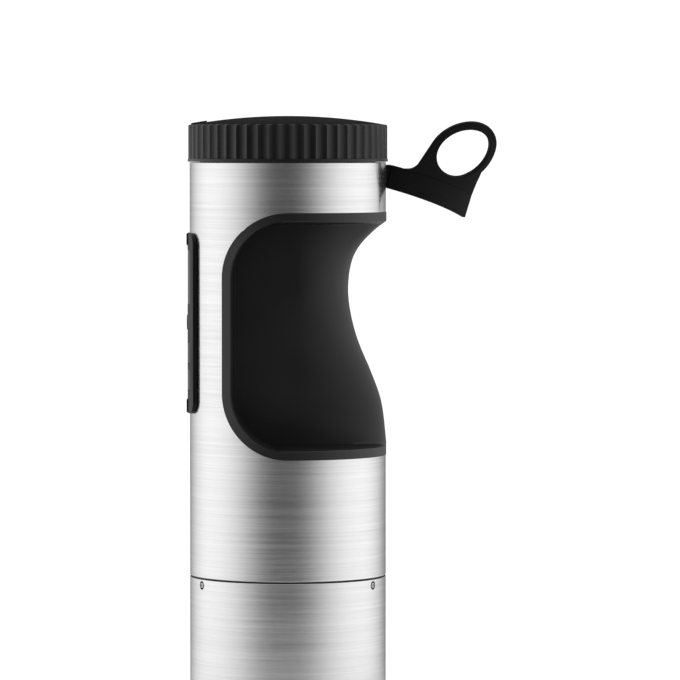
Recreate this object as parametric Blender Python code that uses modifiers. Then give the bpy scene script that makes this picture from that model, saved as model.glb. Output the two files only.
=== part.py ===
"""Stick sous vide circulator.

A brushed steel tube stands between a fluted dial cap at the top and a slotted
skirt with a twist-off base at the bottom. A black hand grip is let into the
right side (+X), a control panel sits on the left side (-X), and a rubber port
cover with a pull ring hangs open just below the dial. The origin is on the
tube's axis, at the underside of the base. Lengths are in millimetres and the
helpers turn them into metres.
"""
import math

import bmesh
import bpy
from mathutils import Matrix, Vector

MM = 0.001
CLEAR = 0.3                 # gap kept between neighbouring solids
MERGE = 0.00001             # merge distance of every modifier, in metres

# Tube and seams along the height
TUBE_R = 50.0
TUBE_WALL = 1.0
STEEL_BOTTOM = 146.3
STEEL_TOP = 356.4
SKIRT_TOP = 145.4
SKIRT_BOTTOM = 14.3
SKIRT_WALL = 1.2
ROUND = 72                  # segments of the large round parts

# Dial cap
DIAL_BOTTOM = STEEL_TOP + CLEAR
DIAL_TOP = 375.6
DIAL_RIDGE_R = 50.7
DIAL_FLANGE_R = 51.0
DIAL_FLANGE_H = 1.6
DIAL_INNER_R = 45.2
DIAL_LEDGE_Z = 371.5
FLUTES = 54
FLUTE_DEPTH = 0.9
DOME_R = 49.1
DOME_TOP = 380.0
DOME_SPHERE = 281.0
DOME_THICK = 2.4
POWER_KEY_IN = 41.3         # radius of the power key's inner edge
POWER_KEY_HALF = 6.5
POWER_KEY_PROUD = 0.7

# Hand grip, let into the +X side
GRIP_RIM_R = 50.3
GRIP_TOP = (1.0, 298.5)     # centre of the elliptical upper corner, x and z
GRIP_BOTTOM = (0.0, 240.4)  # centre of the elliptical lower corner
GRIP_LEFT = -32.7           # outer edge of the rim
GRIP_TOP_Z = 331.1
GRIP_BOTTOM_Z = 207.5
RIM_SIDE = 4.4              # width of the rim at the side
RIM_END = 3.9               # width of the rim at the top and the bottom
WEB_HALF = 17.5             # half thickness of the web between the finger pockets
POCKET_FILLET = 1.5
SCOOP_TOP = 5.0
SCOOP_BOTTOM = 6.0
GRIP_WALL = 2.0
PALM = ((50.2, 211.4), (50.2, 214.4), (47.6, 234.9), (42.2, 250.3), (35.8, 265.6), (31.8, 281.0),
        (30.7, 294.0), (32.4, 306.6), (36.2, 314.3), (43.5, 322.0), (50.3, 327.0))

# Control panel on the -X side
PANEL_HALF = 20.7
PANEL_Z = (229.0, 320.5)
PANEL_CORNER = 6.5
PANEL_FRONT = -51.15        # x of the middle of its front
PANEL_R = 66.6              # radius of its front
LIP_X = -51.5               # x of the two end lips and the start button
LIP_HALF = 8.0
LIP_TOP_Z = 314.3
LIP_BOTTOM_Z = 236.1
WINDOW_HALF = 15.8          # opening in the steel behind the panel
WINDOW_Z = (236.4, 313.6)
GLASS_HALF = 14.0
GLASS_Z = (284.3, 311.7)
START_Z = 274.9
START_R = 4.05
KEY_SIZE = (12.6, 10.5)
KEY_Y = 7.4
KEY_Z = (246.0, 259.6)

# Port cover, open to the right
COVER_R = 50.6              # inner radius of its band when closed
COVER_THICK = 2.4
COVER_TIP = ((22.3, -13.6), (23.0, -1.3))   # lower and upper end of its free edge
COVER_BAND = 12.1
COVER_LEAN = 33.0           # lean of the ring plate from the band, in degrees
COVER_RING_AT = 32.0        # degrees from the hinge to the middle of the flat layout
COVER_RING = (1.6, 19.0)    # centre of the ring, from that middle and the band's top edge
COVER_RING_R = 18.7
COVER_HOLE_R = 14.3
COVER_HINGE = (51.26, 8.12, 349.2)
COVER_ALONG = (0.9653, 0.0, -0.2613)
COVER_INWARD = (-0.0331, 0.9920, -0.1224)
PORT_AZIMUTH = 39.0
PORT_Z = 349.2

# Wet end
BULKHEAD_Z = (137.0, 149.0)
SCREW_Z = 142.5             # the screws that hold the skirt to the bulkhead
SHAFT_R = 2.5
SHAFT_Z = (33.0, 165.0)
COLUMN_R = 8.0
PUMP_R = 24.0
PUMP_Z = (26.0, 50.0)
COIL_R = 34.0
COIL_TUBE = 3.5
COIL_Z = (62.0, 122.0)
COIL_TURNS = 4
SLOTS = 18
SLOT_WIDTH = 3.5
SLOT_Z = (24.0, 58.0)
BASE_HOLES = 10

# Pot clamp, at the bottom of its travel
COLLAR_Z = (60.0, 86.0)
COLLAR_IN = 50.4
COLLAR_OUT = 54.0
BRIDGE_THICK = 14.0
JAW_X = (72.0, 80.0)
JAW_Z = 26.0                # lower end of the jaw
CLAMP_Z = 37.0              # axis of the clamp's screw


def reset_scene():
    for obj in list(bpy.data.objects):
        bpy.data.objects.remove(obj, do_unlink=True)
    parts = bpy.data.collections.new("sous_vide_circulator")
    cutters = bpy.data.collections.new("cutters")
    bpy.context.scene.collection.children.link(parts)
    bpy.context.scene.collection.children.link(cutters)
    return parts, cutters


PARTS, CUTTERS = reset_scene()


def finish(name, color, roughness, metallic=0.0):
    made = bpy.data.materials.new(name)
    made.use_nodes = True
    shader = made.node_tree.nodes["Principled BSDF"]
    shader.inputs["Base Color"].default_value = (*color, 1.0)
    shader.inputs["Roughness"].default_value = roughness
    shader.inputs["Metallic"].default_value = metallic
    return made


STEEL = finish("brushed_steel", (0.62, 0.62, 0.61), 0.3, 1.0)
BLACK = finish("black_plastic", (0.012, 0.012, 0.013), 0.45)
GRIP_BLACK = finish("grip_plastic", (0.02, 0.02, 0.021), 0.55)
RUBBER = finish("black_rubber", (0.01, 0.01, 0.01), 0.7)
GLASS = finish("dark_glass", (0.01, 0.012, 0.014), 0.08)
GREY = finish("grey_plastic", (0.16, 0.16, 0.165), 0.5)
BOARD = finish("circuit_board", (0.02, 0.11, 0.05), 0.5)
BRASS = finish("brass", (0.7, 0.55, 0.3), 0.35, 1.0)


def keep(obj, material):
    """Make an object one of the parts, with its finish."""
    PARTS.objects.link(obj)
    obj.data.materials.clear()
    obj.data.materials.append(material)
    if obj.type == "MESH":
        obj.data.shade_smooth()
        obj.data.set_sharp_from_angle(angle=math.radians(35))
    return obj


def as_cutter(obj):
    CUTTERS.objects.link(obj)
    obj.hide_render = True
    obj.display_type = "WIRE"
    return obj


def metres(values):
    return tuple(v * MM for v in values)


def mesh_object(name, bm):
    mesh = bpy.data.meshes.new(name)
    bm.to_mesh(mesh)
    bm.free()
    return bpy.data.objects.new(name, mesh)


def box(name, low, high, bevel=0.0):
    """A box between two corners, its edges rounded by a bevel where one is given."""
    centre = [(a + b) / 2 for a, b in zip(low, high)]
    size = [b - a for a, b in zip(low, high)]
    bm = bmesh.new()
    bmesh.ops.create_cube(bm, size=1.0, matrix=Matrix.Diagonal((*metres(size), 1.0)))
    obj = mesh_object(name, bm)
    obj.location = metres(centre)
    if bevel:
        rounding = obj.modifiers.new("edges", "BEVEL")
        rounding.width = bevel * MM
        rounding.segments = 2
    return obj


def rod(name, radius, low, high, at=(0.0, 0.0), segments=32):
    """An upright cylinder."""
    bm = bmesh.new()
    bmesh.ops.create_cone(bm, cap_ends=True, segments=segments, radius1=radius * MM,
                          radius2=radius * MM, depth=(high - low) * MM)
    obj = mesh_object(name, bm)
    obj.location = metres((*at, (low + high) / 2))
    return obj


def turned(name, profile, segments=32, closed=True, at=(0.0, 0.0, 0.0), tilt=None):
    """Turn a profile of (radius, height) points that runs down its outer side first."""
    bm = bmesh.new()
    points = [bm.verts.new((r * MM, 0.0, z * MM)) for r, z in profile]
    for a, b in zip(points, points[1:]):
        bm.edges.new((a, b))
    if closed:
        bm.edges.new((points[-1], points[0]))
    obj = mesh_object(name, bm)
    screw = obj.modifiers.new("turn", "SCREW")
    screw.steps = segments
    screw.render_steps = segments
    screw.use_merge_vertices = True
    screw.merge_threshold = MERGE
    obj.location = metres(at)
    if tilt:
        obj.rotation_euler = tilt
    return obj


def tube(name, outer, inner, low, high, segments=32, **place):
    return turned(name, [(outer, high), (outer, low), (inner, low), (inner, high)], segments, **place)


def solid_mesh(curve_obj):
    """A mesh copy of a curve object, with its caps welded on."""
    graph = bpy.context.evaluated_depsgraph_get()
    mesh = bpy.data.meshes.new_from_object(curve_obj.evaluated_get(graph))
    bm = bmesh.new()
    bm.from_mesh(mesh)
    bmesh.ops.remove_doubles(bm, verts=bm.verts, dist=MERGE / 10)
    bmesh.ops.recalc_face_normals(bm, faces=bm.faces)
    obj = mesh_object(curve_obj.name + "_solid", bm)
    obj.matrix_world = curve_obj.matrix_world
    bpy.data.objects.remove(curve_obj, do_unlink=True)
    return obj


def flat(name, loops, thickness):
    """A flat solid from closed outlines in the local XY plane; inner outlines are holes."""
    curve = bpy.data.curves.new(name, "CURVE")
    curve.dimensions = "2D"
    curve.fill_mode = "BOTH"
    curve.extrude = thickness / 2 * MM
    for loop in loops:
        spline = curve.splines.new("POLY")
        spline.points.add(len(loop) - 1)
        for point, (x, y) in zip(spline.points, loop):
            point.co = (x * MM, y * MM, 0.0, 1.0)
        spline.use_cyclic_u = True
    obj = bpy.data.objects.new(name, curve)
    bpy.context.scene.collection.objects.link(obj)
    made = solid_mesh(obj)
    made.name = name
    return made


def wire(name, points, radius, material):
    """A lead or a bent tube along a list of points."""
    curve = bpy.data.curves.new(name, "CURVE")
    curve.dimensions = "3D"
    curve.bevel_depth = radius * MM
    curve.bevel_resolution = 2
    curve.use_fill_caps = True
    spline = curve.splines.new("POLY")
    spline.points.add(len(points) - 1)
    for point, place in zip(spline.points, points):
        point.co = (*metres(place), 1.0)
    obj = bpy.data.objects.new(name, curve)
    return keep(obj, material)


def boolean(target, other, how):
    as_cutter(other)
    step = target.modifiers.new(how.lower(), "BOOLEAN")
    step.operation = how
    step.object = other
    return target


def cut(target, *others):
    for other in others:
        boolean(target, other, "DIFFERENCE")
    return target


def join(target, *others):
    for other in others:
        boolean(target, other, "UNION")
    return target


def common(target, other):
    return boolean(target, other, "INTERSECT")


def arc(centre, rx, ry, start, end, count):
    """Points along an ellipse, its angles in degrees, both ends included."""
    steps = [math.radians(start + (end - start) * i / count) for i in range(count + 1)]
    return [(centre[0] + rx * math.cos(a), centre[1] + ry * math.sin(a)) for a in steps]


def rounded_rectangle(half_x, half_y, radius, count=5):
    points = []
    for corner, (sx, sy) in enumerate(((1, 1), (-1, 1), (-1, -1), (1, -1))):
        centre = (sx * (half_x - radius), sy * (half_y - radius))
        points += arc(centre, radius, radius, 90 * corner, 90 * corner + 90, count)
    return points


def polar(radius, degrees, z):
    angle = math.radians(degrees)
    return (radius * math.cos(angle), radius * math.sin(angle), z)


def merged_boxes(name, boxes):
    """One cutter from many boxes, each given by its matrix."""
    bm = bmesh.new()
    for matrix in boxes:
        bmesh.ops.create_cube(bm, size=1.0, matrix=matrix)
    return mesh_object(name, bm)


def radial_box(size, radius, degrees, z):
    """The matrix of a box whose local X points outwards at an azimuth."""
    place = Matrix.Translation(metres(polar(radius, degrees, z)))
    return place @ Matrix.Rotation(math.radians(degrees), 4, "Z") @ Matrix.Diagonal((*metres(size), 1.0))


def radial_rod(name, radius, r_in, r_out, degrees, z, segments=24):
    """A cylinder that points outwards at an azimuth."""
    bm = bmesh.new()
    bmesh.ops.create_cone(bm, cap_ends=True, segments=segments, radius1=radius * MM,
                          radius2=radius * MM, depth=(r_out - r_in) * MM)
    obj = mesh_object(name, bm)
    obj.location = metres(polar((r_in + r_out) / 2, degrees, z))
    obj.rotation_euler = (0.0, math.pi / 2, math.radians(degrees))
    return obj


# ---------------------------------------------------------------- steel tube
def grip_outline(grow):
    """Outer outline of the grip's rim in x and z, open towards +X."""
    left = GRIP_LEFT - grow
    top, bottom = GRIP_TOP, GRIP_BOTTOM
    far = TUBE_R + 15.0
    points = [(far, GRIP_TOP_Z + grow)]
    points += arc(top, top[0] - left, GRIP_TOP_Z + grow - top[1], 90, 180, 10)
    points += arc(bottom, bottom[0] - left, bottom[1] - GRIP_BOTTOM_Z + grow, 180, 270, 10)
    points.append((far, GRIP_BOTTOM_Z - grow))
    return points


def side_cutter(name, outline, depth):
    """A cutter whose outline lies in x and z and which runs across the tube along Y."""
    cutter = flat(name, [outline], depth)
    cutter.rotation_euler = (math.pi / 2, 0.0, 0.0)
    return cutter


def build_tube():
    inner = TUBE_R - TUBE_WALL
    lip_in = 46.5
    lip = 1.0
    steel = turned("steel_housing", [(TUBE_R, STEEL_TOP), (TUBE_R, STEEL_BOTTOM), (inner, STEEL_BOTTOM),
                                     (inner, STEEL_TOP - lip), (lip_in, STEEL_TOP - lip),
                                     (lip_in, STEEL_TOP)], ROUND)
    cut(steel,
        side_cutter("grip_cut", grip_outline(CLEAR), 120.0),
        box("window_cut", (-60, -WINDOW_HALF, WINDOW_Z[0]), (-30, WINDOW_HALF, WINDOW_Z[1])),
        box("inlet_cut", (-15.0, 40, 168.0), (15.0, 60, 194.0)),
        box("anchor_cut", (47, 3.2, 343.2), (60, 8.0, 355.0)),
        radial_rod("port_cut", 5.5, 40, 60, PORT_AZIMUTH, PORT_Z))
    keep(steel, STEEL)

    skirt_in = TUBE_R - SKIRT_WALL
    skirt = tube("lower_skirt", TUBE_R, skirt_in, SKIRT_BOTTOM, SKIRT_TOP, ROUND)
    slot = (10.0, SLOT_WIDTH, SLOT_Z[1] - SLOT_Z[0])
    middle = (SLOT_Z[0] + SLOT_Z[1]) / 2
    turns = [360 * i / SLOTS + 10 for i in range(SLOTS)]
    cut(skirt, merged_boxes("slot_cut", [radial_box(slot, TUBE_R, a, middle) for a in turns]))
    for i in range(3):
        cut(skirt, radial_rod(f"skirt_screw_cut_{i}", 2.2, 45, 55, 90 + 120 * i, SCREW_Z, 12))
    keep(skirt, STEEL)
    gasket = tube("seam_gasket", TUBE_R - 0.4, skirt_in + CLEAR, SKIRT_TOP + CLEAR, STEEL_BOTTOM - CLEAR, 48)
    keep(gasket, RUBBER)


# ---------------------------------------------------------------- dial cap
def build_dial():
    """The ring is a stack of fluted loops; each flute is a shallow arc between two ridges."""
    per_flute = 2
    count = FLUTES * per_flute
    chamfer = 0.7

    def ridge(i, top):
        u = (i % per_flute) / per_flute
        return top - FLUTE_DEPTH * 4 * u * (1 - u)

    loops = [
        (lambda i: DIAL_FLANGE_R, DIAL_BOTTOM),
        (lambda i: DIAL_FLANGE_R, DIAL_BOTTOM + DIAL_FLANGE_H),
        (lambda i: ridge(i, DIAL_RIDGE_R), DIAL_BOTTOM + DIAL_FLANGE_H + 0.05),
        (lambda i: ridge(i, DIAL_RIDGE_R), DIAL_TOP - chamfer),
        (lambda i: min(ridge(i, DIAL_RIDGE_R), DIAL_RIDGE_R - chamfer), DIAL_TOP),
        (lambda i: DOME_R + CLEAR, DIAL_TOP - 0.02),
        (lambda i: DOME_R + CLEAR, DIAL_LEDGE_Z),
        (lambda i: DIAL_INNER_R, DIAL_LEDGE_Z),
        (lambda i: DIAL_INNER_R, DIAL_BOTTOM),
    ]
    bm = bmesh.new()
    rings = []
    for radius, z in loops:
        ring = []
        for i in range(count):
            a = 2 * math.pi * i / count
            ring.append(bm.verts.new((radius(i) * MM * math.cos(a), radius(i) * MM * math.sin(a), z * MM)))
        rings.append(ring)
    for lower, upper in zip(rings, rings[1:] + rings[:1]):
        for i in range(count):
            j = (i + 1) % count
            bm.faces.new((lower[i], lower[j], upper[j], upper[i]))
    bmesh.ops.recalc_face_normals(bm, faces=bm.faces)
    keep(mesh_object("dial_ring", bm), BLACK)


def dome_profile(rise, radius, count=6):
    """Points along the dome's crown, from its middle out to a radius."""
    points = []
    for i in range(count + 1):
        r = radius * i / count
        drop = DOME_SPHERE - math.sqrt(DOME_SPHERE ** 2 - r * r)
        points.append((r, DOME_TOP + rise - drop))
    return points


def build_top():
    outer = dome_profile(0.0, DOME_R)
    skirt_z = 366.0
    under = dome_profile(-DOME_THICK, 39.5, 2)
    rim_z = 373.1
    profile = outer + [(DOME_R, rim_z), (41.6, rim_z), (41.6, skirt_z), (39.5, skirt_z)] + under[::-1]
    dome = turned("top_dome", profile, 40, closed=False)
    half = POWER_KEY_HALF + CLEAR
    notch = box("key_notch", (-60, -half, 360), (-POWER_KEY_IN + CLEAR, half, 390))
    keep(cut(dome, notch), BLACK)

    key = box("power_key", (-DOME_R, -POWER_KEY_HALF, 373.7), (-POWER_KEY_IN, POWER_KEY_HALF, 379.0))
    crown = dome_profile(POWER_KEY_PROUD, DOME_R)
    crown = turned("key_crown", crown + [(DOME_R, 370.0), (0.0, 370.0)], 40, closed=False)
    keep(common(key, crown), BLACK)

    deck_r = 48.6
    boss_out, boss_in = 44.6, 42.0
    boss_top = 372.8
    deck = turned("top_deck", [(boss_out, boss_top), (boss_out, 341.0), (deck_r, 341.0), (deck_r, 338.0),
                               (9.0, 338.0), (9.0, 341.0), (boss_in, 341.0), (boss_in, boss_top)], 48)
    keep(deck, GREY)
    keep(tube("dial_seal", 46.2, boss_out + CLEAR, 355.0, 356.3, 48), RUBBER)
    keep(tube("dial_sensor_board", 38.5, 8.0, 362.0, 363.6), BOARD)
    keep(box("power_switch", (-38.0, -3.0, 364.0), (-31.0, 3.0, 368.5)), GREY)


# ---------------------------------------------------------------- hand grip
def palm_x(z):
    """Palm side of the grip: a smooth curve through its key points."""
    for i in range(len(PALM) - 1):
        if z <= PALM[i + 1][1] or i == len(PALM) - 2:
            break
    before, start, end = PALM[max(i - 1, 0)], PALM[i], PALM[i + 1]
    after = PALM[min(i + 2, len(PALM) - 1)]
    span = end[1] - start[1]
    u = min(max((z - start[1]) / span, 0.0), 1.0)
    slope_start = (end[0] - before[0]) / (end[1] - before[1]) * span
    slope_end = (after[0] - start[0]) / (after[1] - start[1]) * span
    return ((2 * u ** 3 - 3 * u ** 2 + 1) * start[0] + (u ** 3 - 2 * u ** 2 + u) * slope_start
            + (3 * u ** 2 - 2 * u ** 3) * end[0] + (u ** 3 - u ** 2) * slope_end)


def scoop(distance, length):
    """1 at the rim, 0 on the web, along a quarter ellipse."""
    if distance >= length:
        return 0.0
    return 1.0 - math.sqrt(1.0 - (1.0 - distance / length) ** 2)


def grip_rows():
    """Rows of the grip from bottom to top: inner edge x, z, and the rim's outer edge x, z."""
    corner_rows = 6
    side_rows = 4
    in_left = GRIP_LEFT + RIM_SIDE
    rows = []
    for i in range(corner_rows + 1):
        a = math.pi / 2 * (1 - i / corner_rows)
        cx, cz = GRIP_BOTTOM
        rows.append((cx - (cx - in_left) * math.cos(a), cz - (cz - GRIP_BOTTOM_Z - RIM_END) * math.sin(a),
                     cx - (cx - GRIP_LEFT) * math.cos(a), cz - (cz - GRIP_BOTTOM_Z) * math.sin(a)))
    for i in range(1, side_rows):
        z = GRIP_BOTTOM[1] + (GRIP_TOP[1] - GRIP_BOTTOM[1]) * i / side_rows
        rows.append((in_left, z, GRIP_LEFT, z))
    for i in range(corner_rows + 1):
        a = math.pi / 2 * i / corner_rows
        cx, cz = GRIP_TOP
        rows.append((cx - (cx - in_left) * math.cos(a), cz + (GRIP_TOP_Z - RIM_END - cz) * math.sin(a),
                     cx - (cx - GRIP_LEFT) * math.cos(a), cz + (GRIP_TOP_Z - cz) * math.sin(a)))
    return rows


def grip_point(x, z, web, depth_x):
    """Half width of the grip at a point: on the web, or blended out to the tube's surface."""
    in_low = GRIP_BOTTOM_Z + RIM_END
    in_high = GRIP_TOP_Z - RIM_END
    ends = max(scoop(z - in_low, SCOOP_BOTTOM), scoop(in_high - z, SCOOP_TOP))
    blend = 1.0 - (1.0 - ends) * (1.0 - depth_x)
    return ends, blend * math.sqrt(max(GRIP_RIM_R ** 2 - x * x, 0.0)) + (1.0 - blend) * web


def grip_row(left, z):
    """Points of one row, from the pocket's wall over the web's side and round to the palm."""
    wall, side, nose = 3, 3, 6
    start = max(6.0, left + POCKET_FILLET + 2.0)
    palm = palm_x(z)
    points = []
    for i in range(wall + 1):
        u = i / wall
        x = left + POCKET_FILLET * (1 - math.cos(math.pi / 2 * u))
        points.append((x, grip_point(x, z, WEB_HALF, scoop(x - left, POCKET_FILLET))[1]))
    for i in range(1, side + 1):
        x = left + POCKET_FILLET + (start - left - POCKET_FILLET) * i / side
        points.append((x, grip_point(x, z, WEB_HALF, 0.0)[1]))
    ends = grip_point(start, z, WEB_HALF, 0.0)[0]
    for i in range(1, nose + 1):
        a = math.pi / 2 * i / nose
        on_tube = math.sqrt(max(GRIP_RIM_R ** 2 - (start + (GRIP_RIM_R - start) * math.sin(a)) ** 2, 0.0))
        y = ends * on_tube + (1 - ends) * WEB_HALF * math.cos(a)
        points.append((start + (palm - start) * math.sin(a), y if i < nose else 0.0))
    return points


def build_grip():
    rows = grip_rows()
    bm = bmesh.new()
    grid = []
    for left, z, _, _ in rows:
        grid.append([bm.verts.new((x * MM, -y * MM, z * MM)) for x, y in grip_row(left, z)])
    for lower, upper in zip(grid, grid[1:]):
        for i in range(len(lower) - 1):
            bm.faces.new((lower[i], lower[i + 1], upper[i + 1], upper[i]))

    def on_tube(x, z):
        x = min(x, GRIP_RIM_R)
        return bm.verts.new((x * MM, -math.sqrt(max(GRIP_RIM_R ** 2 - x * x, 0.0)) * MM, z * MM))

    inner = grid[0][::-1] + [row[0] for row in grid[1:-1]] + grid[-1]
    outer = [on_tube(v.co.x / MM, GRIP_BOTTOM_Z) for v in grid[0][::-1]]
    outer += [on_tube(out_x, out_z) for _, _, out_x, out_z in rows[1:-1]]
    outer += [on_tube(v.co.x / MM, GRIP_TOP_Z) for v in grid[-1]]
    for i in range(len(inner) - 1):
        bm.faces.new((inner[i], inner[i + 1], outer[i + 1], outer[i]))
    bmesh.ops.recalc_face_normals(bm, faces=bm.faces)
    middle = min(bm.faces, key=lambda f: (f.calc_center_median() - Vector((0.0, -0.0175, 0.265))).length)
    if middle.normal.y > 0:
        bmesh.ops.reverse_faces(bm, faces=bm.faces)
    grip = mesh_object("grip_shell", bm)
    mirror = grip.modifiers.new("halves", "MIRROR")
    mirror.use_axis = (False, True, False)
    mirror.merge_threshold = MERGE
    wall = grip.modifiers.new("wall", "SOLIDIFY")
    wall.thickness = GRIP_WALL * MM
    wall.offset = -1.0
    keep(grip, GRIP_BLACK)


# ---------------------------------------------------------------- control panel
def panel_front(name, inset=0.0):
    """A tall cylinder that carries the panel's curved front."""
    return rod(name, PANEL_R - inset, 200.0, 340.0, at=(PANEL_FRONT + PANEL_R, 0.0), segments=180)


def key_block(name, low, high, front_inset=0.0):
    return common(box(name, low, high), panel_front(name + "_front", front_inset))


def build_panel():
    height = PANEL_Z[1] - PANEL_Z[0]
    middle = sum(PANEL_Z) / 2
    bezel = flat("panel_bezel", [rounded_rectangle(height / 2, PANEL_HALF, PANEL_CORNER)], 12.0)
    bezel.rotation_euler = (0.0, math.pi / 2, 0.0)
    bezel.location = metres((-50.0, 0.0, middle))
    common(bezel, panel_front("bezel_front"))
    cut(bezel, rod("bezel_back", TUBE_R + CLEAR, 200.0, 340.0, segments=ROUND))
    frame_half = WINDOW_HALF - CLEAR
    join(bezel, key_block("window_frame", (PANEL_FRONT - 1.0, -frame_half, WINDOW_Z[0] + CLEAR),
                          (-46.5, frame_half, WINDOW_Z[1] - CLEAR), 0.2))
    join(bezel, box("top_lip", (LIP_X, -LIP_HALF, LIP_TOP_Z), (-50.4, LIP_HALF, PANEL_Z[1] - 0.1)))
    join(bezel, box("bottom_lip", (LIP_X, -LIP_HALF, PANEL_Z[0] + 0.1), (-50.4, LIP_HALF, LIP_BOTTOM_Z)))
    gap = CLEAR
    half = GLASS_HALF + gap
    cut(bezel, box("glass_cut", (-60, -half, GLASS_Z[0] - gap), (-40, half, GLASS_Z[1] + gap)))
    start = rod("start_cut", START_R + gap, 0.0, 20.0, segments=24)
    start.rotation_euler = (0.0, math.pi / 2, 0.0)
    start.location = metres((-50.0, 0.0, START_Z))
    cut(bezel, start)
    half_y, half_z = KEY_SIZE[0] / 2, KEY_SIZE[1] / 2
    places = [(side * KEY_Y, z) for z in KEY_Z for side in (-1, 1)]
    for number, (y, z) in enumerate(places, 1):
        cut(bezel, box(f"key_cut_{number}", (-60, y - half_y - gap, z - half_z - gap),
                       (-40, y + half_y + gap, z + half_z + gap)))
        key_low, key_high = (-52, y - half_y, z - half_z), (-47.2, y + half_y, z + half_z)
        keep(key_block(f"mode_key_{number}", key_low, key_high, 0.05), RUBBER)
    keep(bezel, BLACK)
    glass = key_block("display_glass", (-52, -GLASS_HALF, GLASS_Z[0]), (-48.9, GLASS_HALF, GLASS_Z[1]), 0.1)
    keep(glass, GLASS)
    button = turned("start_button",
                    [(0.0, 4.8), (START_R - 0.5, 4.8), (START_R, 4.2), (START_R, 0.0), (0.0, 0.0)],
                    24, closed=False, at=(LIP_X + 4.8, 0.0, START_Z), tilt=(0.0, -math.pi / 2, 0.0))
    keep(button, GREY)
    keep(box("display_module", (-48.6, -13.2, 285.2), (-46.0, 13.2, 310.8)), GREY)
    keep(box("display_board", (-45.6, -14.6, 238.5), (-44.0, 14.6, 312.0)), BOARD)


# ---------------------------------------------------------------- port cover
def cover_outline():
    """The cover laid flat: across from its middle line, and up from the band's top edge."""
    hinge = -COVER_RING_AT * (COVER_R + COVER_THICK / 2) * math.pi / 180
    neck = COVER_RING[0] - COVER_RING_R
    fillet = 5.0
    outer = [(hinge, -COVER_BAND), (0.0, -COVER_BAND - 0.4), *COVER_TIP]
    outer += [(22.2, 1.8), (21.0, 4.6), (20.1, 8.0)]
    outer += arc(COVER_RING, COVER_RING_R, COVER_RING_R, -20.0, 180.0, 18)
    outer += arc((neck - fillet, fillet), fillet, fillet, 0, -90, 6)
    outer += [(hinge, 0.0)]
    hole = arc(COVER_RING, COVER_HOLE_R, COVER_HOLE_R, 0, 360 - 360 / 24, 23)
    return [outer, hole]


def wrap_cover(x, y, depth):
    """Wrap a point of the flat cover: a cylinder below the fold and a cone above it."""
    middle = COVER_R + COVER_THICK / 2
    lean = math.radians(COVER_LEAN)
    up = max(y, 0.0)
    angle = math.radians(COVER_RING_AT) + x / (middle + up * math.sin(lean))
    radius = middle + up * math.sin(lean)
    z = min(y, 0.0) + up * math.cos(lean)
    if y > 0.001:
        radius += depth * math.cos(lean)
        z -= depth * math.sin(lean)
    elif y < -0.001:
        radius += depth
    else:
        radius += depth
        z -= depth * math.tan(lean / 2)
    return (radius * math.sin(angle), middle - radius * math.cos(angle), z + COVER_BAND / 2)


def open_frame():
    """The cover's hinge frame when it hangs open: along the band, inwards, and up."""
    along, inward = Vector(COVER_ALONG).normalized(), Vector(COVER_INWARD).normalized()
    upward = along.cross(inward).normalized()
    inward = upward.cross(along)
    frame = Matrix((along, inward, upward)).transposed().to_4x4()
    return Matrix.Translation(metres(COVER_HINGE)) @ frame


def build_cover():
    """The cover is bent flat-to-round in its hinge frame, then set open on the hinge."""
    sheet = flat("port_cover", cover_outline(), COVER_THICK)
    bm = bmesh.new()
    bm.from_mesh(sheet.data)
    cuts = [(Vector((x * MM, 0.0, 0.0)), Vector((1.0, 0.0, 0.0))) for x in range(-24, 22, 5)]
    cuts.append((Vector((0.0, 0.0, 0.0)), Vector((0.0, 1.0, 0.0))))
    for place, normal in cuts:
        everything = bm.verts[:] + bm.edges[:] + bm.faces[:]
        bmesh.ops.bisect_plane(bm, geom=everything, dist=MERGE / 10, plane_co=place, plane_no=normal)
    for vert in bm.verts:
        vert.co = metres(wrap_cover(*(c / MM for c in vert.co)))
    bmesh.ops.recalc_face_normals(bm, faces=bm.faces)
    bm.to_mesh(sheet.data)
    bm.free()
    sheet.matrix_world = open_frame()
    keep(sheet, RUBBER)

    anchor = box("cover_anchor", (45.4, 3.5, 343.5), (51.5, 7.7, 354.7))
    join(anchor, box("anchor_head", (45.3, 1.5, 343.6), (47.6, 9.7, 354.6)))
    root = box("anchor_end", (-0.35, -20.0, -20.0), (20.0, 20.0, 20.0))
    root.matrix_world = open_frame() @ root.matrix_basis
    keep(cut(anchor, root), RUBBER)

    socket = radial_rod("port_socket", 5.2, 45.2, 49.8, PORT_AZIMUTH, PORT_Z, 32)
    cut(socket, radial_rod("port_recess", 3.6, 46.6, 52.0, PORT_AZIMUTH, PORT_Z, 32))
    keep(socket, BLACK)


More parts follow.
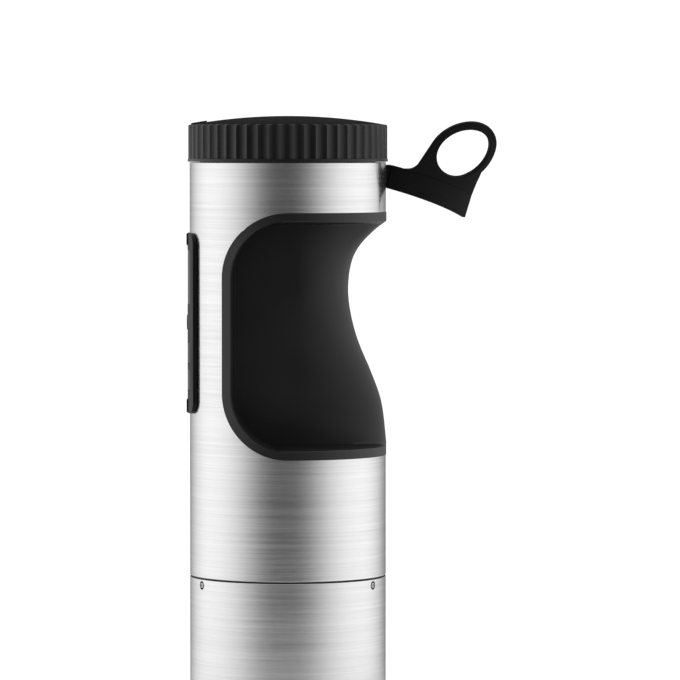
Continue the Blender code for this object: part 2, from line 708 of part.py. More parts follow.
# ---------------------------------------------------------------- drive and wet end
def build_drive():
    low, high = BULKHEAD_Z
    rim = 48.4
    groove = 46.2
    profile = [(rim, high), (rim, 148.2), (groove, 148.2), (groove, 145.8), (rim, 145.8), (rim, 139.6),
               (groove, 139.6), (groove, 137.4), (rim, 137.4), (rim, low), (4.9, low), (4.9, high)]
    bulkhead = turned("bulkhead", profile, 36)
    for i in range(3):
        cut(bulkhead, radial_rod(f"bulkhead_screw_cut_{i}", 1.6, 38, 55, 90 + 120 * i, SCREW_Z, 12))
    keep(bulkhead, GREY)
    for name, z in (("upper_oring", 147.0), ("lower_oring", 138.5)):
        section = arc((47.4, z), 0.8, 0.8, 90, -180, 3)
        keep(turned(name, section), RUBBER)
    for i in range(3):
        head = radial_rod(f"skirt_screw_{i + 1}", 1.3, 40, 50.1, 90 + 120 * i, SCREW_Z, 12)
        keep(head, STEEL)

    motor = turned("pump_motor", [(0.0, 196.0), (6.0, 196.0), (6.0, 193.0), (18.0, 193.0), (18.0, 156.0),
                                  (22.0, 156.0), (22.0, 149.3), (2.8, 149.3), (2.8, 166.0), (0.0, 166.0)],
                   closed=False)
    keep(motor, STEEL)
    keep(rod("pump_shaft", SHAFT_R, *SHAFT_Z, segments=20), STEEL)
    keep(tube("upper_bearing", 4.6, SHAFT_R + CLEAR, 139.0, 147.0, 24), BRASS)
    keep(tube("pump_column", COLUMN_R, 4.9, PUMP_Z[1] + CLEAR, low - CLEAR, 32), STEEL)
    keep(tube("lower_bearing", 4.6, SHAFT_R + CLEAR, 53.0, 61.0, 24), BRASS)

    wall = 2.0
    case = turned("pump_housing", [(PUMP_R, PUMP_Z[1]), (PUMP_R, PUMP_Z[0]), (9.0, PUMP_Z[0]),
                                   (9.0, PUMP_Z[0] + wall), (PUMP_R - wall, PUMP_Z[0] + wall),
                                   (PUMP_R - wall, PUMP_Z[1] - wall), (4.9, PUMP_Z[1] - wall),
                                   (4.9, PUMP_Z[1])])
    cut(case, box("outlet_cut", (-6.0, 15.0, 31.0), (6.0, 30.0, 45.0)))
    keep(case, BLACK)

    hub = rod("impeller", 5.5, 30.0, 45.0, segments=24)
    for i in range(3):
        blade = box(f"blade_{i}", (-18.0, -0.9, 31.0), (18.0, 0.9, 43.0))
        blade.rotation_euler = (0.0, 0.0, math.pi / 3 * i)
        join(hub, blade)
    cut(hub, rod("impeller_bore", SHAFT_R + CLEAR, SHAFT_Z[0] - CLEAR, 60.0, segments=20))
    keep(hub, BLACK)

    per_turn = 12
    steps = COIL_TURNS * per_turn
    helix = [polar(COIL_R, 360 * i / per_turn, COIL_Z[0] + (COIL_Z[1] - COIL_Z[0]) * i / steps)
             for i in range(steps + 1)]
    top = low - CLEAR
    tail = [polar(COIL_R, 14.0, COIL_Z[1] + 4.5), polar(COIL_R, 16.0, COIL_Z[1] + 9.0),
            polar(COIL_R, 16.0, top)]
    inside = COIL_R - 9.5
    lead = [(inside, -5.0, top), (inside, -5.0, COIL_Z[0] + 1.0), (inside + 4.0, -5.0, COIL_Z[0] - 2.5)]
    wire("heater_coil", lead + helix + tail, COIL_TUBE, STEEL)
    keep(rod("temperature_probe", 2.5, 56.0, top, at=(-22.0, 0.0), segments=16), STEEL)
    keep(rod("level_rod_high", 1.6, 95.0, top, at=(0.0, 22.0), segments=12), STEEL)
    keep(rod("level_rod_low", 1.6, 70.0, top, at=(0.0, -22.0), segments=12), STEEL)


def build_base():
    spigot_out, spigot_in = 48.2, 46.6
    wall_top = SKIRT_BOTTOM - CLEAR
    base = turned("base_cap", [(0.0, 3.0), (spigot_in, 3.0), (spigot_in, 20.0), (spigot_out, 20.0),
                               (spigot_out, wall_top), (TUBE_R, wall_top), (TUBE_R, 1.5),
                               (TUBE_R - 1.5, 0.0), (0.0, 0.0)], 48, closed=False)
    for i in range(BASE_HOLES):
        x, y, _ = polar(32.0, 360 * i / BASE_HOLES, 0.0)
        cut(base, rod(f"intake_{i}", 5.0, -5.0, 8.0, at=(x, y), segments=12))
    keep(base, BLACK)


def build_electrics():
    keep(box("main_board", (-40.0, -25.0, 210.0), (-38.4, 25.0, 325.0)), BOARD)
    keep(box("board_frame", (-43.2, -19.0, 206.0), (-40.6, 19.0, 328.0)), GREY)
    keep(box("power_board", (-34.0, -32.0, 153.0), (-32.4, 32.0, 200.0)), BOARD)
    keep(box("relay", (-32.0, -9.0, 165.0), (-22.5, 9.0, 182.0)), BLACK)
    loom = [(-36.0, 0.0, 228.0), (-35.8, 0.0, 214.0), (-35.0, 0.0, 207.0), (-33.6, 0.0, 203.5),
            (-33.2, 0.0, 200.6)]
    wire("wire_loom", loom, 1.6, BLACK)

    inlet = box("power_inlet", (-14.6, 32.0, 168.4), (14.6, 55.0, 193.6), 0.0)
    common(inlet, rod("inlet_face", TUBE_R + 0.2, 150.0, 210.0, segments=ROUND))
    cut(inlet, box("inlet_recess", (-12.0, 37.0, 172.0), (12.0, 60.0, 190.0)))
    for i, (x, z) in enumerate(((-7.0, 179.0), (7.0, 179.0), (0.0, 184.5))):
        join(inlet, box(f"inlet_pin_{i}", (x - 1.0, 35.0, z - 2.0), (x + 1.0, 46.0, z + 2.0)))
    keep(inlet, BLACK)


# ---------------------------------------------------------------- pot clamp
def build_clamp():
    collar = tube("clamp_collar", COLLAR_OUT, COLLAR_IN, *COLLAR_Z, 48)
    under = COLLAR_Z[1] - BRIDGE_THICK
    join(collar, box("clamp_bridge", (52.5, -12.0, under), (JAW_X[1], 12.0, COLLAR_Z[1] - 0.2)))
    join(collar, box("clamp_jaw", (JAW_X[0], -11.9, JAW_Z), (JAW_X[1] - 0.1, 11.9, COLLAR_Z[1] - 4.0)))
    bore = rod("clamp_bore", 4.4, 0.0, 40.0, segments=24)
    bore.rotation_euler = (0.0, math.pi / 2, 0.0)
    bore.location = metres((JAW_X[0] + 4.0, 0.0, CLAMP_Z))
    cut(collar, bore)
    keep(collar, BLACK)

    side = (0.0, math.pi / 2, 0.0)
    at_screw = (0.0, 0.0, CLAMP_Z)
    keep(turned("clamp_screw", [(0.0, 96.0), (4.0, 96.0), (4.0, 66.6), (0.0, 66.6)], 24, closed=False,
                at=at_screw, tilt=side), STEEL)
    pad = [(0.0, 66.3), (4.0, 66.3), (9.0, 64.5), (9.0, 62.0), (0.0, 62.0)]
    keep(turned("pressure_pad", pad, 32, closed=False, at=at_screw, tilt=side), RUBBER)
    knob = turned("clamp_knob", [(0.0, 108.0), (12.0, 108.0), (13.0, 107.0), (13.0, 92.0), (4.3, 92.0),
                                 (4.3, 96.3), (0.0, 96.3)], 40, closed=False, at=at_screw, tilt=side)
    for i in range(8):
        y, z, _ = polar(14.6, 45 * i, 0.0)
        scallop = rod(f"knob_scallop_{i}", 3.2, 0.0, 40.0, segments=12)
        scallop.rotation_euler = side
        scallop.location = metres((100.0, y, CLAMP_Z + z))
        cut(knob, scallop)
    keep(knob, BLACK)


build_tube()
build_dial()
build_top()
build_grip()
build_panel()
build_cover()
build_drive()
build_base()
build_electrics()
build_clamp()
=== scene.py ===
# %% [markdown]
# Sous vide circulator: looks
#
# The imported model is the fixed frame: it says where every part is. This lesson
# gives the visible parts their fine surfaces and finishes. Lengths are written in
# millimetres and MM turns them into metres.

# %% Load the frame
import math

import bpy
from mathutils import Matrix, Vector


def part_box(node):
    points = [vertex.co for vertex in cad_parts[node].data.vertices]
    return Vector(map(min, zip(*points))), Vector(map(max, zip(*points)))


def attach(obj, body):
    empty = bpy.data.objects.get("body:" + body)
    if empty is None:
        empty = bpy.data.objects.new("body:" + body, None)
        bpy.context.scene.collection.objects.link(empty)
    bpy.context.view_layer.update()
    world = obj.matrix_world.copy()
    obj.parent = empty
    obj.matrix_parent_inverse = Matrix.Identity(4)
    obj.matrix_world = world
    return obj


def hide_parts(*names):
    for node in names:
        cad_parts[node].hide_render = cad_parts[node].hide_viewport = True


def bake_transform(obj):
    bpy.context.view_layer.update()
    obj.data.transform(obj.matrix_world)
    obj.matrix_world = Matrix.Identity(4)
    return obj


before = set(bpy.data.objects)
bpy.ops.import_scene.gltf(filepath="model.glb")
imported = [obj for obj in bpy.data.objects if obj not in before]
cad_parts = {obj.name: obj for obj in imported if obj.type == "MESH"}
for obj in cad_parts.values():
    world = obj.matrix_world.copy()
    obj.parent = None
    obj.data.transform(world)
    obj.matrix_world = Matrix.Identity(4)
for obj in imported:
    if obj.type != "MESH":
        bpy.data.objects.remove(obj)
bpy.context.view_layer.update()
MM = 0.001

# %% [markdown]
# The camera stands level with the top of the tube and looks slightly down. A long
# lens keeps the tube's sides nearly parallel, as in a catalogue picture.

# %% Camera
CAMERA_AT = (26.6, -2470.0, 368.0)
CAMERA_PITCH = 2.37
LENS = 256.5

lens = bpy.data.cameras.new("camera")
lens.lens = LENS
lens.sensor_width = 36.0
camera = bpy.data.objects.new("camera", lens)
camera.location = [c * MM for c in CAMERA_AT]
camera.rotation_euler = (math.radians(90.0 - CAMERA_PITCH), 0.0, 0.0)
bpy.context.scene.collection.objects.link(camera)
bpy.context.scene.camera = camera
bpy.context.scene.view_settings.view_transform = "Standard"
print("camera at", tuple(CAMERA_AT), "lens", LENS)

# %% [markdown]
# Polished and brushed metal looks like whatever stands round it. The studio is a
# world whose brightness changes with direction: white cards at both sides, dimmer
# towards the camera and straight behind. Camera rays see plain white instead. The
# whole studio is turned a few degrees, so the dark band sits a little off centre.

# %% World
STUDIO = ((0.00, 0.06), (0.035, 0.13), (0.095, 0.32), (0.19, 0.61), (0.31, 0.83), (0.46, 0.96),
          (0.64, 0.98), (0.75, 0.88), (0.86, 0.64), (0.94, 0.34), (1.00, 0.14))
STUDIO_POWER = 1.5
STUDIO_TURN = 3.5           # degrees about the upright axis
BACKDROP = 1.1              # strength of the white that the camera sees

world = bpy.data.worlds.new("studio")
bpy.context.scene.world = world
world.use_nodes = True
tree = world.node_tree
tree.nodes.clear()
coords = tree.nodes.new("ShaderNodeTexCoord")
turned = tree.nodes.new("ShaderNodeMapping")
turned.inputs["Rotation"].default_value = (0.0, 0.0, math.radians(STUDIO_TURN))
axes = tree.nodes.new("ShaderNodeSeparateXYZ")
spread = tree.nodes.new("ShaderNodeMapRange")
spread.inputs["From Min"].default_value = -1.0
ramp = tree.nodes.new("ShaderNodeValToRGB")
ramp.color_ramp.interpolation = "B_SPLINE"
while len(ramp.color_ramp.elements) < len(STUDIO):
    ramp.color_ramp.elements.new(0.5)
for stop, (place, light) in zip(ramp.color_ramp.elements, STUDIO):
    stop.position = place
    stop.color = (light, light, light, 1.0)
lit = tree.nodes.new("ShaderNodeBackground")
lit.inputs["Strength"].default_value = STUDIO_POWER
white = tree.nodes.new("ShaderNodeBackground")
white.inputs["Color"].default_value = (1.0, 1.0, 1.0, 1.0)
white.inputs["Strength"].default_value = BACKDROP
path = tree.nodes.new("ShaderNodeLightPath")
choose = tree.nodes.new("ShaderNodeMixShader")
out = tree.nodes.new("ShaderNodeOutputWorld")
tree.links.new(coords.outputs["Generated"], turned.inputs["Vector"])
tree.links.new(turned.outputs[0], axes.inputs[0])
tree.links.new(axes.outputs["Y"], spread.inputs["Value"])
tree.links.new(spread.outputs[0], ramp.inputs["Fac"])
tree.links.new(ramp.outputs["Color"], lit.inputs["Color"])
tree.links.new(path.outputs["Is Camera Ray"], choose.inputs["Fac"])
tree.links.new(lit.outputs[0], choose.inputs[1])
tree.links.new(white.outputs[0], choose.inputs[2])
tree.links.new(choose.outputs[0], out.inputs["Surface"])
print("studio with", len(STUDIO), "steps of light")

# %% [markdown]
# A weak softbox overhead lights the tops without showing in the metal.

# %% Softbox
SOFTBOX_AT = (0.0, 200.0, 1500.0)
SOFTBOX_AIM = (0.0, 0.0, 300.0)
SOFTBOX_SIDE = 900.0
SOFTBOX_WATTS = 1.5

glow = bpy.data.lights.new("top_softbox", "AREA")
glow.shape = "RECTANGLE"
glow.size = SOFTBOX_SIDE * MM
glow.size_y = SOFTBOX_SIDE * MM
glow.energy = SOFTBOX_WATTS
lamp = bpy.data.objects.new("top_softbox", glow)
lamp.location = [c * MM for c in SOFTBOX_AT]
aim = Vector(SOFTBOX_AIM) - Vector(SOFTBOX_AT)
lamp.rotation_euler = aim.to_track_quat("-Z", "Y").to_euler()
lamp.visible_glossy = False
bpy.context.scene.collection.objects.link(lamp)
print("softbox", lamp.name)

# %% [markdown]
# The floor is a plain pale disc at the height of the base.

# %% Floor
FLOOR_R = 700.0
FLOOR_Z = -0.2

bpy.ops.object.select_all(action="DESELECT")
bpy.ops.mesh.primitive_circle_add(vertices=128, radius=FLOOR_R * MM, fill_type="NGON",
                                  location=(0, 0, FLOOR_Z * MM))
floor = bpy.context.object
floor.name = "floor"
paper = bpy.data.materials.new("floor_paper")
paper.use_nodes = True
paper_shader = paper.node_tree.nodes["Principled BSDF"]
paper_shader.inputs["Base Color"].default_value = (0.82, 0.82, 0.82, 1.0)
paper_shader.inputs["Roughness"].default_value = 0.9
floor.data.materials.append(paper)
print("floor", FLOOR_R, "mm in radius")

# %% [markdown]
# Finishes
#
# Moulded plastic is never one flat colour: the mould leaves a fine grain, the
# pigment is a little cloudy, and handling polishes it unevenly. One function makes
# all the moulded finishes from those three effects.

# %% Moulded plastic and rubber
def link(tree, source, target):
    tree.links.new(source, target)


def noise(tree, coords, scale, detail=3.0, roughness=0.5):
    made = tree.nodes.new("ShaderNodeTexNoise")
    made.inputs["Scale"].default_value = scale
    made.inputs["Detail"].default_value = detail
    made.inputs["Roughness"].default_value = roughness
    link(tree, coords, made.inputs["Vector"])
    return made.outputs["Fac"]


def between(tree, value, low, high, from_low=0.3, from_high=0.7):
    made = tree.nodes.new("ShaderNodeMapRange")
    made.inputs["From Min"].default_value = from_low
    made.inputs["From Max"].default_value = from_high
    made.inputs["To Min"].default_value = low
    made.inputs["To Max"].default_value = high
    link(tree, value, made.inputs["Value"])
    return made.outputs[0]


def tinted(tree, value, dark, light):
    made = tree.nodes.new("ShaderNodeValToRGB")
    made.color_ramp.elements[0].position = 0.3
    made.color_ramp.elements[1].position = 0.7
    made.color_ramp.elements[0].color = (*dark, 1.0)
    made.color_ramp.elements[1].color = (*light, 1.0)
    link(tree, value, made.inputs["Fac"])
    return made.outputs["Color"]


def bumped(tree, height, depth_mm, strength=1.0):
    made = tree.nodes.new("ShaderNodeBump")
    made.inputs["Strength"].default_value = strength
    made.inputs["Distance"].default_value = depth_mm * MM
    link(tree, height, made.inputs["Height"])
    return made.outputs["Normal"]


def moulded(name, colour, roughness, grain_mm=0.35, depth_mm=0.012, spread=0.06, specular=0.5):
    """Black or grey moulding: its colour, gloss, grain size and depth, and how uneven the gloss is."""
    finish = bpy.data.materials.new(name)
    finish.use_nodes = True
    tree = finish.node_tree
    shader = tree.nodes["Principled BSDF"]
    coords = tree.nodes.new("ShaderNodeTexCoord").outputs["Object"]
    grain = noise(tree, coords, 1.0 / (grain_mm * MM), 2.0)
    cloud = noise(tree, coords, 45.0, 4.0)
    dark = [c * 0.88 for c in colour]
    light = [c * 1.14 for c in colour]
    link(tree, tinted(tree, cloud, dark, light), shader.inputs["Base Color"])
    link(tree, between(tree, cloud, roughness - spread, roughness + spread), shader.inputs["Roughness"])
    link(tree, bumped(tree, grain, depth_mm), shader.inputs["Normal"])
    shader.inputs["Specular IOR Level"].default_value = specular
    return finish


cap_black = moulded("cap_plastic", (0.0036, 0.0036, 0.0038), 0.65, 0.30, 0.006, 0.05, 0.02)
dial_black = moulded("dial_plastic", (0.0050, 0.0050, 0.0053), 0.34, 0.30, 0.005, 0.05, 0.30)
grip_black = moulded("grip_plastic", (0.0020, 0.0020, 0.0022), 0.42, 0.40, 0.008, 0.04, 0.42)
panel_black = moulded("panel_plastic", (0.0045, 0.0045, 0.0048), 0.46, 0.30, 0.005, 0.05, 0.14)
key_black = moulded("key_plastic", (0.028, 0.028, 0.029), 0.5, 0.35, 0.008)
base_black = moulded("base_plastic", (0.016, 0.016, 0.017), 0.5, 0.5, 0.02)
grey_plastic = moulded("grey_plastic", (0.15, 0.15, 0.155), 0.5, 0.5, 0.02)
rubber_black = moulded("rubber", (0.010, 0.010, 0.010), 0.62, 0.25, 0.012, 0.05, 0.35)
cover_black = moulded("cover_rubber", (0.0035, 0.0035, 0.0037), 0.55, 0.25, 0.008, 0.05, 0.08)
print("moulded finishes made")

# %% [markdown]
# The tube is brushed round and round on a belt. Each line is long around the tube
# and very thin along it, so the noise is stretched: slow in X and Y, fast in Z.
# Two widths of line are mixed, and they change colour, gloss and height a little.
# The highlight of such metal is drawn out across the lines, which is anisotropy.

# %% Brushed steel
def brushed(name, colour, roughness, lines_per_mm=2.2, contrast=0.10, anisotropy=0.55):
    """Metal brushed round the upright axis, with two widths of line."""
    finish = bpy.data.materials.new(name)
    finish.use_nodes = True
    tree = finish.node_tree
    shader = tree.nodes["Principled BSDF"]
    coords = tree.nodes.new("ShaderNodeTexCoord").outputs["Object"]
    stretch = tree.nodes.new("ShaderNodeMapping")
    stretch.inputs["Scale"].default_value = (18.0, 18.0, lines_per_mm * 1000.0)
    link(tree, coords, stretch.inputs["Vector"])
    fine = noise(tree, stretch.outputs[0], 1.0, 3.0, 0.6)
    broad_stretch = tree.nodes.new("ShaderNodeMapping")
    broad_stretch.inputs["Scale"].default_value = (9.0, 9.0, lines_per_mm * 260.0)
    broad_stretch.inputs["Location"].default_value = (3.0, 5.0, 7.0)
    link(tree, coords, broad_stretch.inputs["Vector"])
    broad = noise(tree, broad_stretch.outputs[0], 1.0, 2.0, 0.5)
    mix = tree.nodes.new("ShaderNodeMath")
    mix.operation = "MULTIPLY_ADD"
    mix.inputs[1].default_value = 0.55
    link(tree, fine, mix.inputs[0])
    half = tree.nodes.new("ShaderNodeMath")
    half.operation = "MULTIPLY"
    half.inputs[1].default_value = 0.45
    link(tree, broad, half.inputs[0])
    link(tree, half.outputs[0], mix.inputs[2])
    dark = [c * (1.0 - contrast) for c in colour]
    light = [min(c * (1.0 + contrast), 1.0) for c in colour]
    link(tree, tinted(tree, mix.outputs[0], dark, light), shader.inputs["Base Color"])
    link(tree, between(tree, mix.outputs[0], roughness - 0.05, roughness + 0.05), shader.inputs["Roughness"])
    link(tree, bumped(tree, fine, 0.004, 0.5), shader.inputs["Normal"])
    shader.inputs["Metallic"].default_value = 1.0
    shader.inputs["Anisotropic"].default_value = anisotropy
    around = tree.nodes.new("ShaderNodeTangent")
    around.direction_type = "RADIAL"
    around.axis = "Z"
    shader.inputs["Anisotropic Rotation"].default_value = 0.25
    link(tree, around.outputs[0], shader.inputs["Tangent"])
    return finish


tube_steel = brushed("brushed_steel", (0.62, 0.62, 0.62), 0.22)
plain_steel = brushed("plain_steel", (0.56, 0.56, 0.55), 0.30, 1.2, 0.06, 0.2)
brass = brushed("bearing_brass", (0.70, 0.55, 0.30), 0.30, 1.5, 0.06, 0.2)
print("metal finishes made")

# %% [markdown]
# The display window is smoked plastic, much smoother than the rest, and the boards
# are green laminate with a faint weave.

# %% Window and boards
window_black = moulded("display_glass", (0.006, 0.007, 0.008), 0.09, 3.0, 0.001, 0.02, 0.2)
board_green = moulded("board", (0.02, 0.11, 0.05), 0.45, 0.8, 0.01)
print("window and board finishes made")

# %% [markdown]
# Modelling helpers
#
# These few helpers stand for the moves that are made again and again by hand:
# clear the selection, draw half an outline and spin it, push a flat outline out
# into a block, cut one piece with another, and hand a finished piece to its body.

# %% Selection and finishing helpers
def fresh():
    """Back to object mode with nothing selected."""
    if bpy.context.mode != "OBJECT":
        bpy.ops.object.mode_set(mode="OBJECT")
    bpy.ops.object.select_all(action="DESELECT")


def wake(piece):
    """Select one piece and make it the active one."""
    fresh()
    piece.select_set(True)
    bpy.context.view_layer.objects.active = piece


def edit(piece):
    """Into edit mode with all of a piece selected."""
    wake(piece)
    bpy.ops.object.mode_set(mode="EDIT")
    bpy.ops.mesh.select_all(action="SELECT")


def outward(piece):
    """Weld the points that lie on each other and turn all faces outwards."""
    edit(piece)
    bpy.ops.mesh.remove_doubles(threshold=0.000001)
    bpy.ops.mesh.normals_make_consistent(inside=False)
    fresh()
    return piece


def fit(piece, node, body, finish, smooth=35.0):
    """Put a finished piece in its node's place: apply its place, shade it and let it ride."""
    wake(piece)
    bpy.ops.object.transform_apply(location=True, rotation=True, scale=True)
    bpy.ops.object.shade_smooth_by_angle(angle=math.radians(smooth))
    even = piece.modifiers.new("even_shading", "WEIGHTED_NORMAL")
    even.keep_sharp = True
    bpy.ops.object.modifier_apply(modifier=even.name)
    piece.name = node + "_piece"
    piece.data.materials.clear()
    piece.data.materials.append(finish)
    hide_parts(node)
    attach(piece, body)
    print(piece.name, len(piece.data.vertices), "vertices")
    fresh()
    return piece


# %% [markdown]
# The shape helpers take millimetres, so a drawing's sizes can be read off the code.
# An outline is a list of corners, each with the radius that rounds it.

# %% Shape helpers
def corner(before, at, after, radius, steps=4):
    """Points that round a corner of an outline with an arc."""
    at = Vector(at)
    to_before = Vector(before) - at
    to_after = Vector(after) - at
    angle = to_before.angle(to_after)
    if radius <= 0.0 or angle > math.radians(178):
        return [tuple(at)]
    reach = radius / math.tan(angle / 2)
    start = at + to_before.normalized() * reach
    end = at + to_after.normalized() * reach
    inwards = (to_before.normalized() + to_after.normalized()).normalized()
    centre = at + inwards * radius / math.sin(angle / 2)
    points = []
    for i in range(steps + 1):
        ray = (start - centre).lerp(end - centre, i / steps)
        points.append(tuple(centre + ray.normalized() * radius))
    return points


def softened(outline, closed=True, steps=4):
    """An outline of (a, b, radius) points with its corners rounded."""
    points = []
    count = len(outline)
    for i, (a, b, radius) in enumerate(outline):
        if not closed and i in (0, count - 1):
            points.append((a, b))
            continue
        before = outline[(i - 1) % count][:2]
        after = outline[(i + 1) % count][:2]
        points += corner(before, (a, b), after, radius, steps)
    return points


def drawn(name, points, closed):
    """A chain of edges through points given in millimetres."""
    mesh = bpy.data.meshes.new(name)
    edges = [(i, i + 1) for i in range(len(points) - 1)]
    if closed:
        edges.append((len(points) - 1, 0))
    mesh.from_pydata([[c * MM for c in p] for p in points], edges, [])
    piece = bpy.data.objects.new(name, mesh)
    bpy.context.scene.collection.objects.link(piece)
    return piece


def spun(name, outline, steps=256, closed=True):
    """Spin half an outline of (radius, height, corner radius) points about the tube's axis."""
    half = [(r, 0.0, z) for r, z in softened(outline, closed)]
    piece = drawn(name, half, closed)
    edit(piece)
    bpy.ops.mesh.spin(steps=steps, angle=math.tau, center=(0, 0, 0), axis=(0, 0, 1))
    return outward(piece)


def pushed(name, points, way):
    """Fill a closed outline and push it out along a direction, both in millimetres."""
    piece = drawn(name, points, True)
    edit(piece)
    bpy.ops.mesh.edge_face_add()
    bpy.ops.mesh.extrude_region_move(TRANSFORM_OT_translate={"value": [c * MM for c in way]})
    return outward(piece)


def block(name, low, high, edge=0.0, segments=3):
    """A block between two corners, with its edges rounded."""
    fresh()
    middle = [(a + b) / 2 * MM for a, b in zip(low, high)]
    size = [(b - a) * MM for a, b in zip(low, high)]
    bpy.ops.mesh.primitive_cube_add(size=1.0, location=middle, scale=size)
    piece = bpy.context.object
    piece.name = name
    bpy.ops.object.transform_apply(location=True, rotation=True, scale=True)
    if edge:
        edit(piece)
        bpy.ops.mesh.bevel(offset=edge * MM, segments=segments, affect="EDGES")
    fresh()
    return piece


def bar(name, radius, start, end, vertices=64):
    """A round bar between two points."""
    fresh()
    start, end = Vector(start) * MM, Vector(end) * MM
    turn = (end - start).to_track_quat("Z", "Y").to_euler()
    bpy.ops.mesh.primitive_cylinder_add(vertices=vertices, radius=radius * MM, rotation=turn,
                                        depth=(end - start).length, location=(start + end) / 2)
    piece = bpy.context.object
    piece.name = name
    bpy.ops.object.transform_apply(location=True, rotation=True, scale=True)
    fresh()
    return piece


def carve(piece, *tools, how="DIFFERENCE"):
    """Cut, join or trim a piece with others, which are used up."""
    for tool in tools:
        wake(piece)
        step = piece.modifiers.new("carve", "BOOLEAN")
        step.operation = how
        step.object = tool
        bpy.ops.object.modifier_apply(modifier=step.name)
        bpy.data.objects.remove(tool, do_unlink=True)
    return piece


def ease(piece, width, angle=40.0, segments=3):
    """Take the sharp edges off with a bevel."""
    wake(piece)
    step = piece.modifiers.new("ease", "BEVEL")
    step.width = width * MM
    step.segments = segments
    step.limit_method = "ANGLE"
    step.angle_limit = math.radians(angle)
    bpy.ops.object.modifier_apply(modifier=step.name)
    return piece


def polar(radius, degrees, z=0.0):
    """A point at a radius and an azimuth."""
    return (radius * math.cos(math.radians(degrees)), radius * math.sin(math.radians(degrees)), z)


def ellipse(centre, rx, ry, start, end, steps):
    """Points along part of an ellipse, between two angles in degrees."""
    turns = [math.radians(start + (end - start) * i / steps) for i in range(steps + 1)]
    return [(centre[0] + rx * math.cos(a), centre[1] + ry * math.sin(a)) for a in turns]


print("helpers ready")

# %% [markdown]
# The steel tube
#
# The tube is a thin shell, spun from a narrow outline whose top edge is rolled
# inwards. Many steps keep its reflections clean. The opening for the grip is one
# outline, pushed right across the tube, so both sides match.

# %% Steel tube
TUBE_R = 50.0
TUBE_WALL = 1.0
GAP = 0.3
low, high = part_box("steel_housing")
STEEL_BOTTOM = low.z / MM
STEEL_TOP = high.z / MM
RING_STEP = 5.0             # level rings keep the weighted shading even down the tube
FOLD_R = 46.5               # how far the rolled top edge reaches in

GRIP_TOP = (1.0, 298.5)     # centres of the rim's two elliptical corners, x and z
GRIP_BOTTOM = (0.0, 240.4)
GRIP_LEFT = -32.7
GRIP_TOP_Z = 331.1
GRIP_BOTTOM_Z = 207.5
GRIP_GAP = 0.12

WINDOW_HALF = 15.8          # opening behind the panel
WINDOW_Z = (236.4, 313.6)
PORT_AZIMUTH = 39.0
PORT_Z = 349.2
PORT_HOLE_R = 5.5


def grip_outline(grow):
    """The rim's outer outline in x and z, open towards +X."""
    left = GRIP_LEFT - grow
    points = [(TUBE_R + 20.0, GRIP_TOP_Z + grow)]
    rise, drop = GRIP_TOP_Z + grow - GRIP_TOP[1], GRIP_BOTTOM[1] - GRIP_BOTTOM_Z + grow
    points += ellipse(GRIP_TOP, GRIP_TOP[0] - left, rise, 90, 180, 32)
    points += ellipse(GRIP_BOTTOM, GRIP_BOTTOM[0] - left, drop, 180, 270, 32)
    points.append((TUBE_R + 20.0, GRIP_BOTTOM_Z - grow))
    return points


inner = TUBE_R - TUBE_WALL
rings = [(TUBE_R, STEEL_TOP - 4.0 - RING_STEP * i, 0.0) for i in range(41)]
tube = spun("tube", [(TUBE_R, STEEL_TOP, 0.3), *rings, (TUBE_R, STEEL_BOTTOM, 0.2),
                     (inner, STEEL_BOTTOM, 0.2), (inner, STEEL_TOP - TUBE_WALL, 0.0),
                     (FOLD_R, STEEL_TOP - TUBE_WALL, 0.2), (FOLD_R, STEEL_TOP, 0.2)], 512)
opening = pushed("opening", [(x, -60.0, z) for x, z in grip_outline(GRIP_GAP)], (0.0, 120.0, 0.0))
window = block("window", (-60, -WINDOW_HALF, WINDOW_Z[0]), (-30, WINDOW_HALF, WINDOW_Z[1]))
socket = block("socket", (-15.0, 40, 168.0), (15.0, 60, 194.0), 1.4)
slot_for_anchor = block("anchor_slot", (47, 3.2, 343.2), (60, 8.0, 355.0))
port_hole = bar("port_hole", PORT_HOLE_R, polar(40, PORT_AZIMUTH, PORT_Z), polar(60, PORT_AZIMUTH, PORT_Z))
carve(tube, opening, window, socket, slot_for_anchor, port_hole)
fit(tube, "steel_housing", "housing", tube_steel, 30.0)

# %% [markdown]
# The dial
#
# The dial's wall is a ring of shallow scallops that meet in crisp ridges. A circle
# is extruded once for every level of the outline; the levels are first stacked one
# millimetre apart, then each vertex is moved to its own radius and height.

# %% Dial ring
FLUTES = 54
PER_FLUTE = 12
RIDGE_R = 50.7
FLUTE_DEPTH = 0.95
DIAL_BOTTOM = STEEL_TOP + GAP
DIAL_TOP = 375.6
CHAMFER = 0.7


def scallop(angle):
    """How far the wall lies inside the ridges at an angle."""
    u = (angle / math.tau * FLUTES) % 1.0
    return FLUTE_DEPTH * (1.0 - (2.0 * u - 1.0) ** 2)


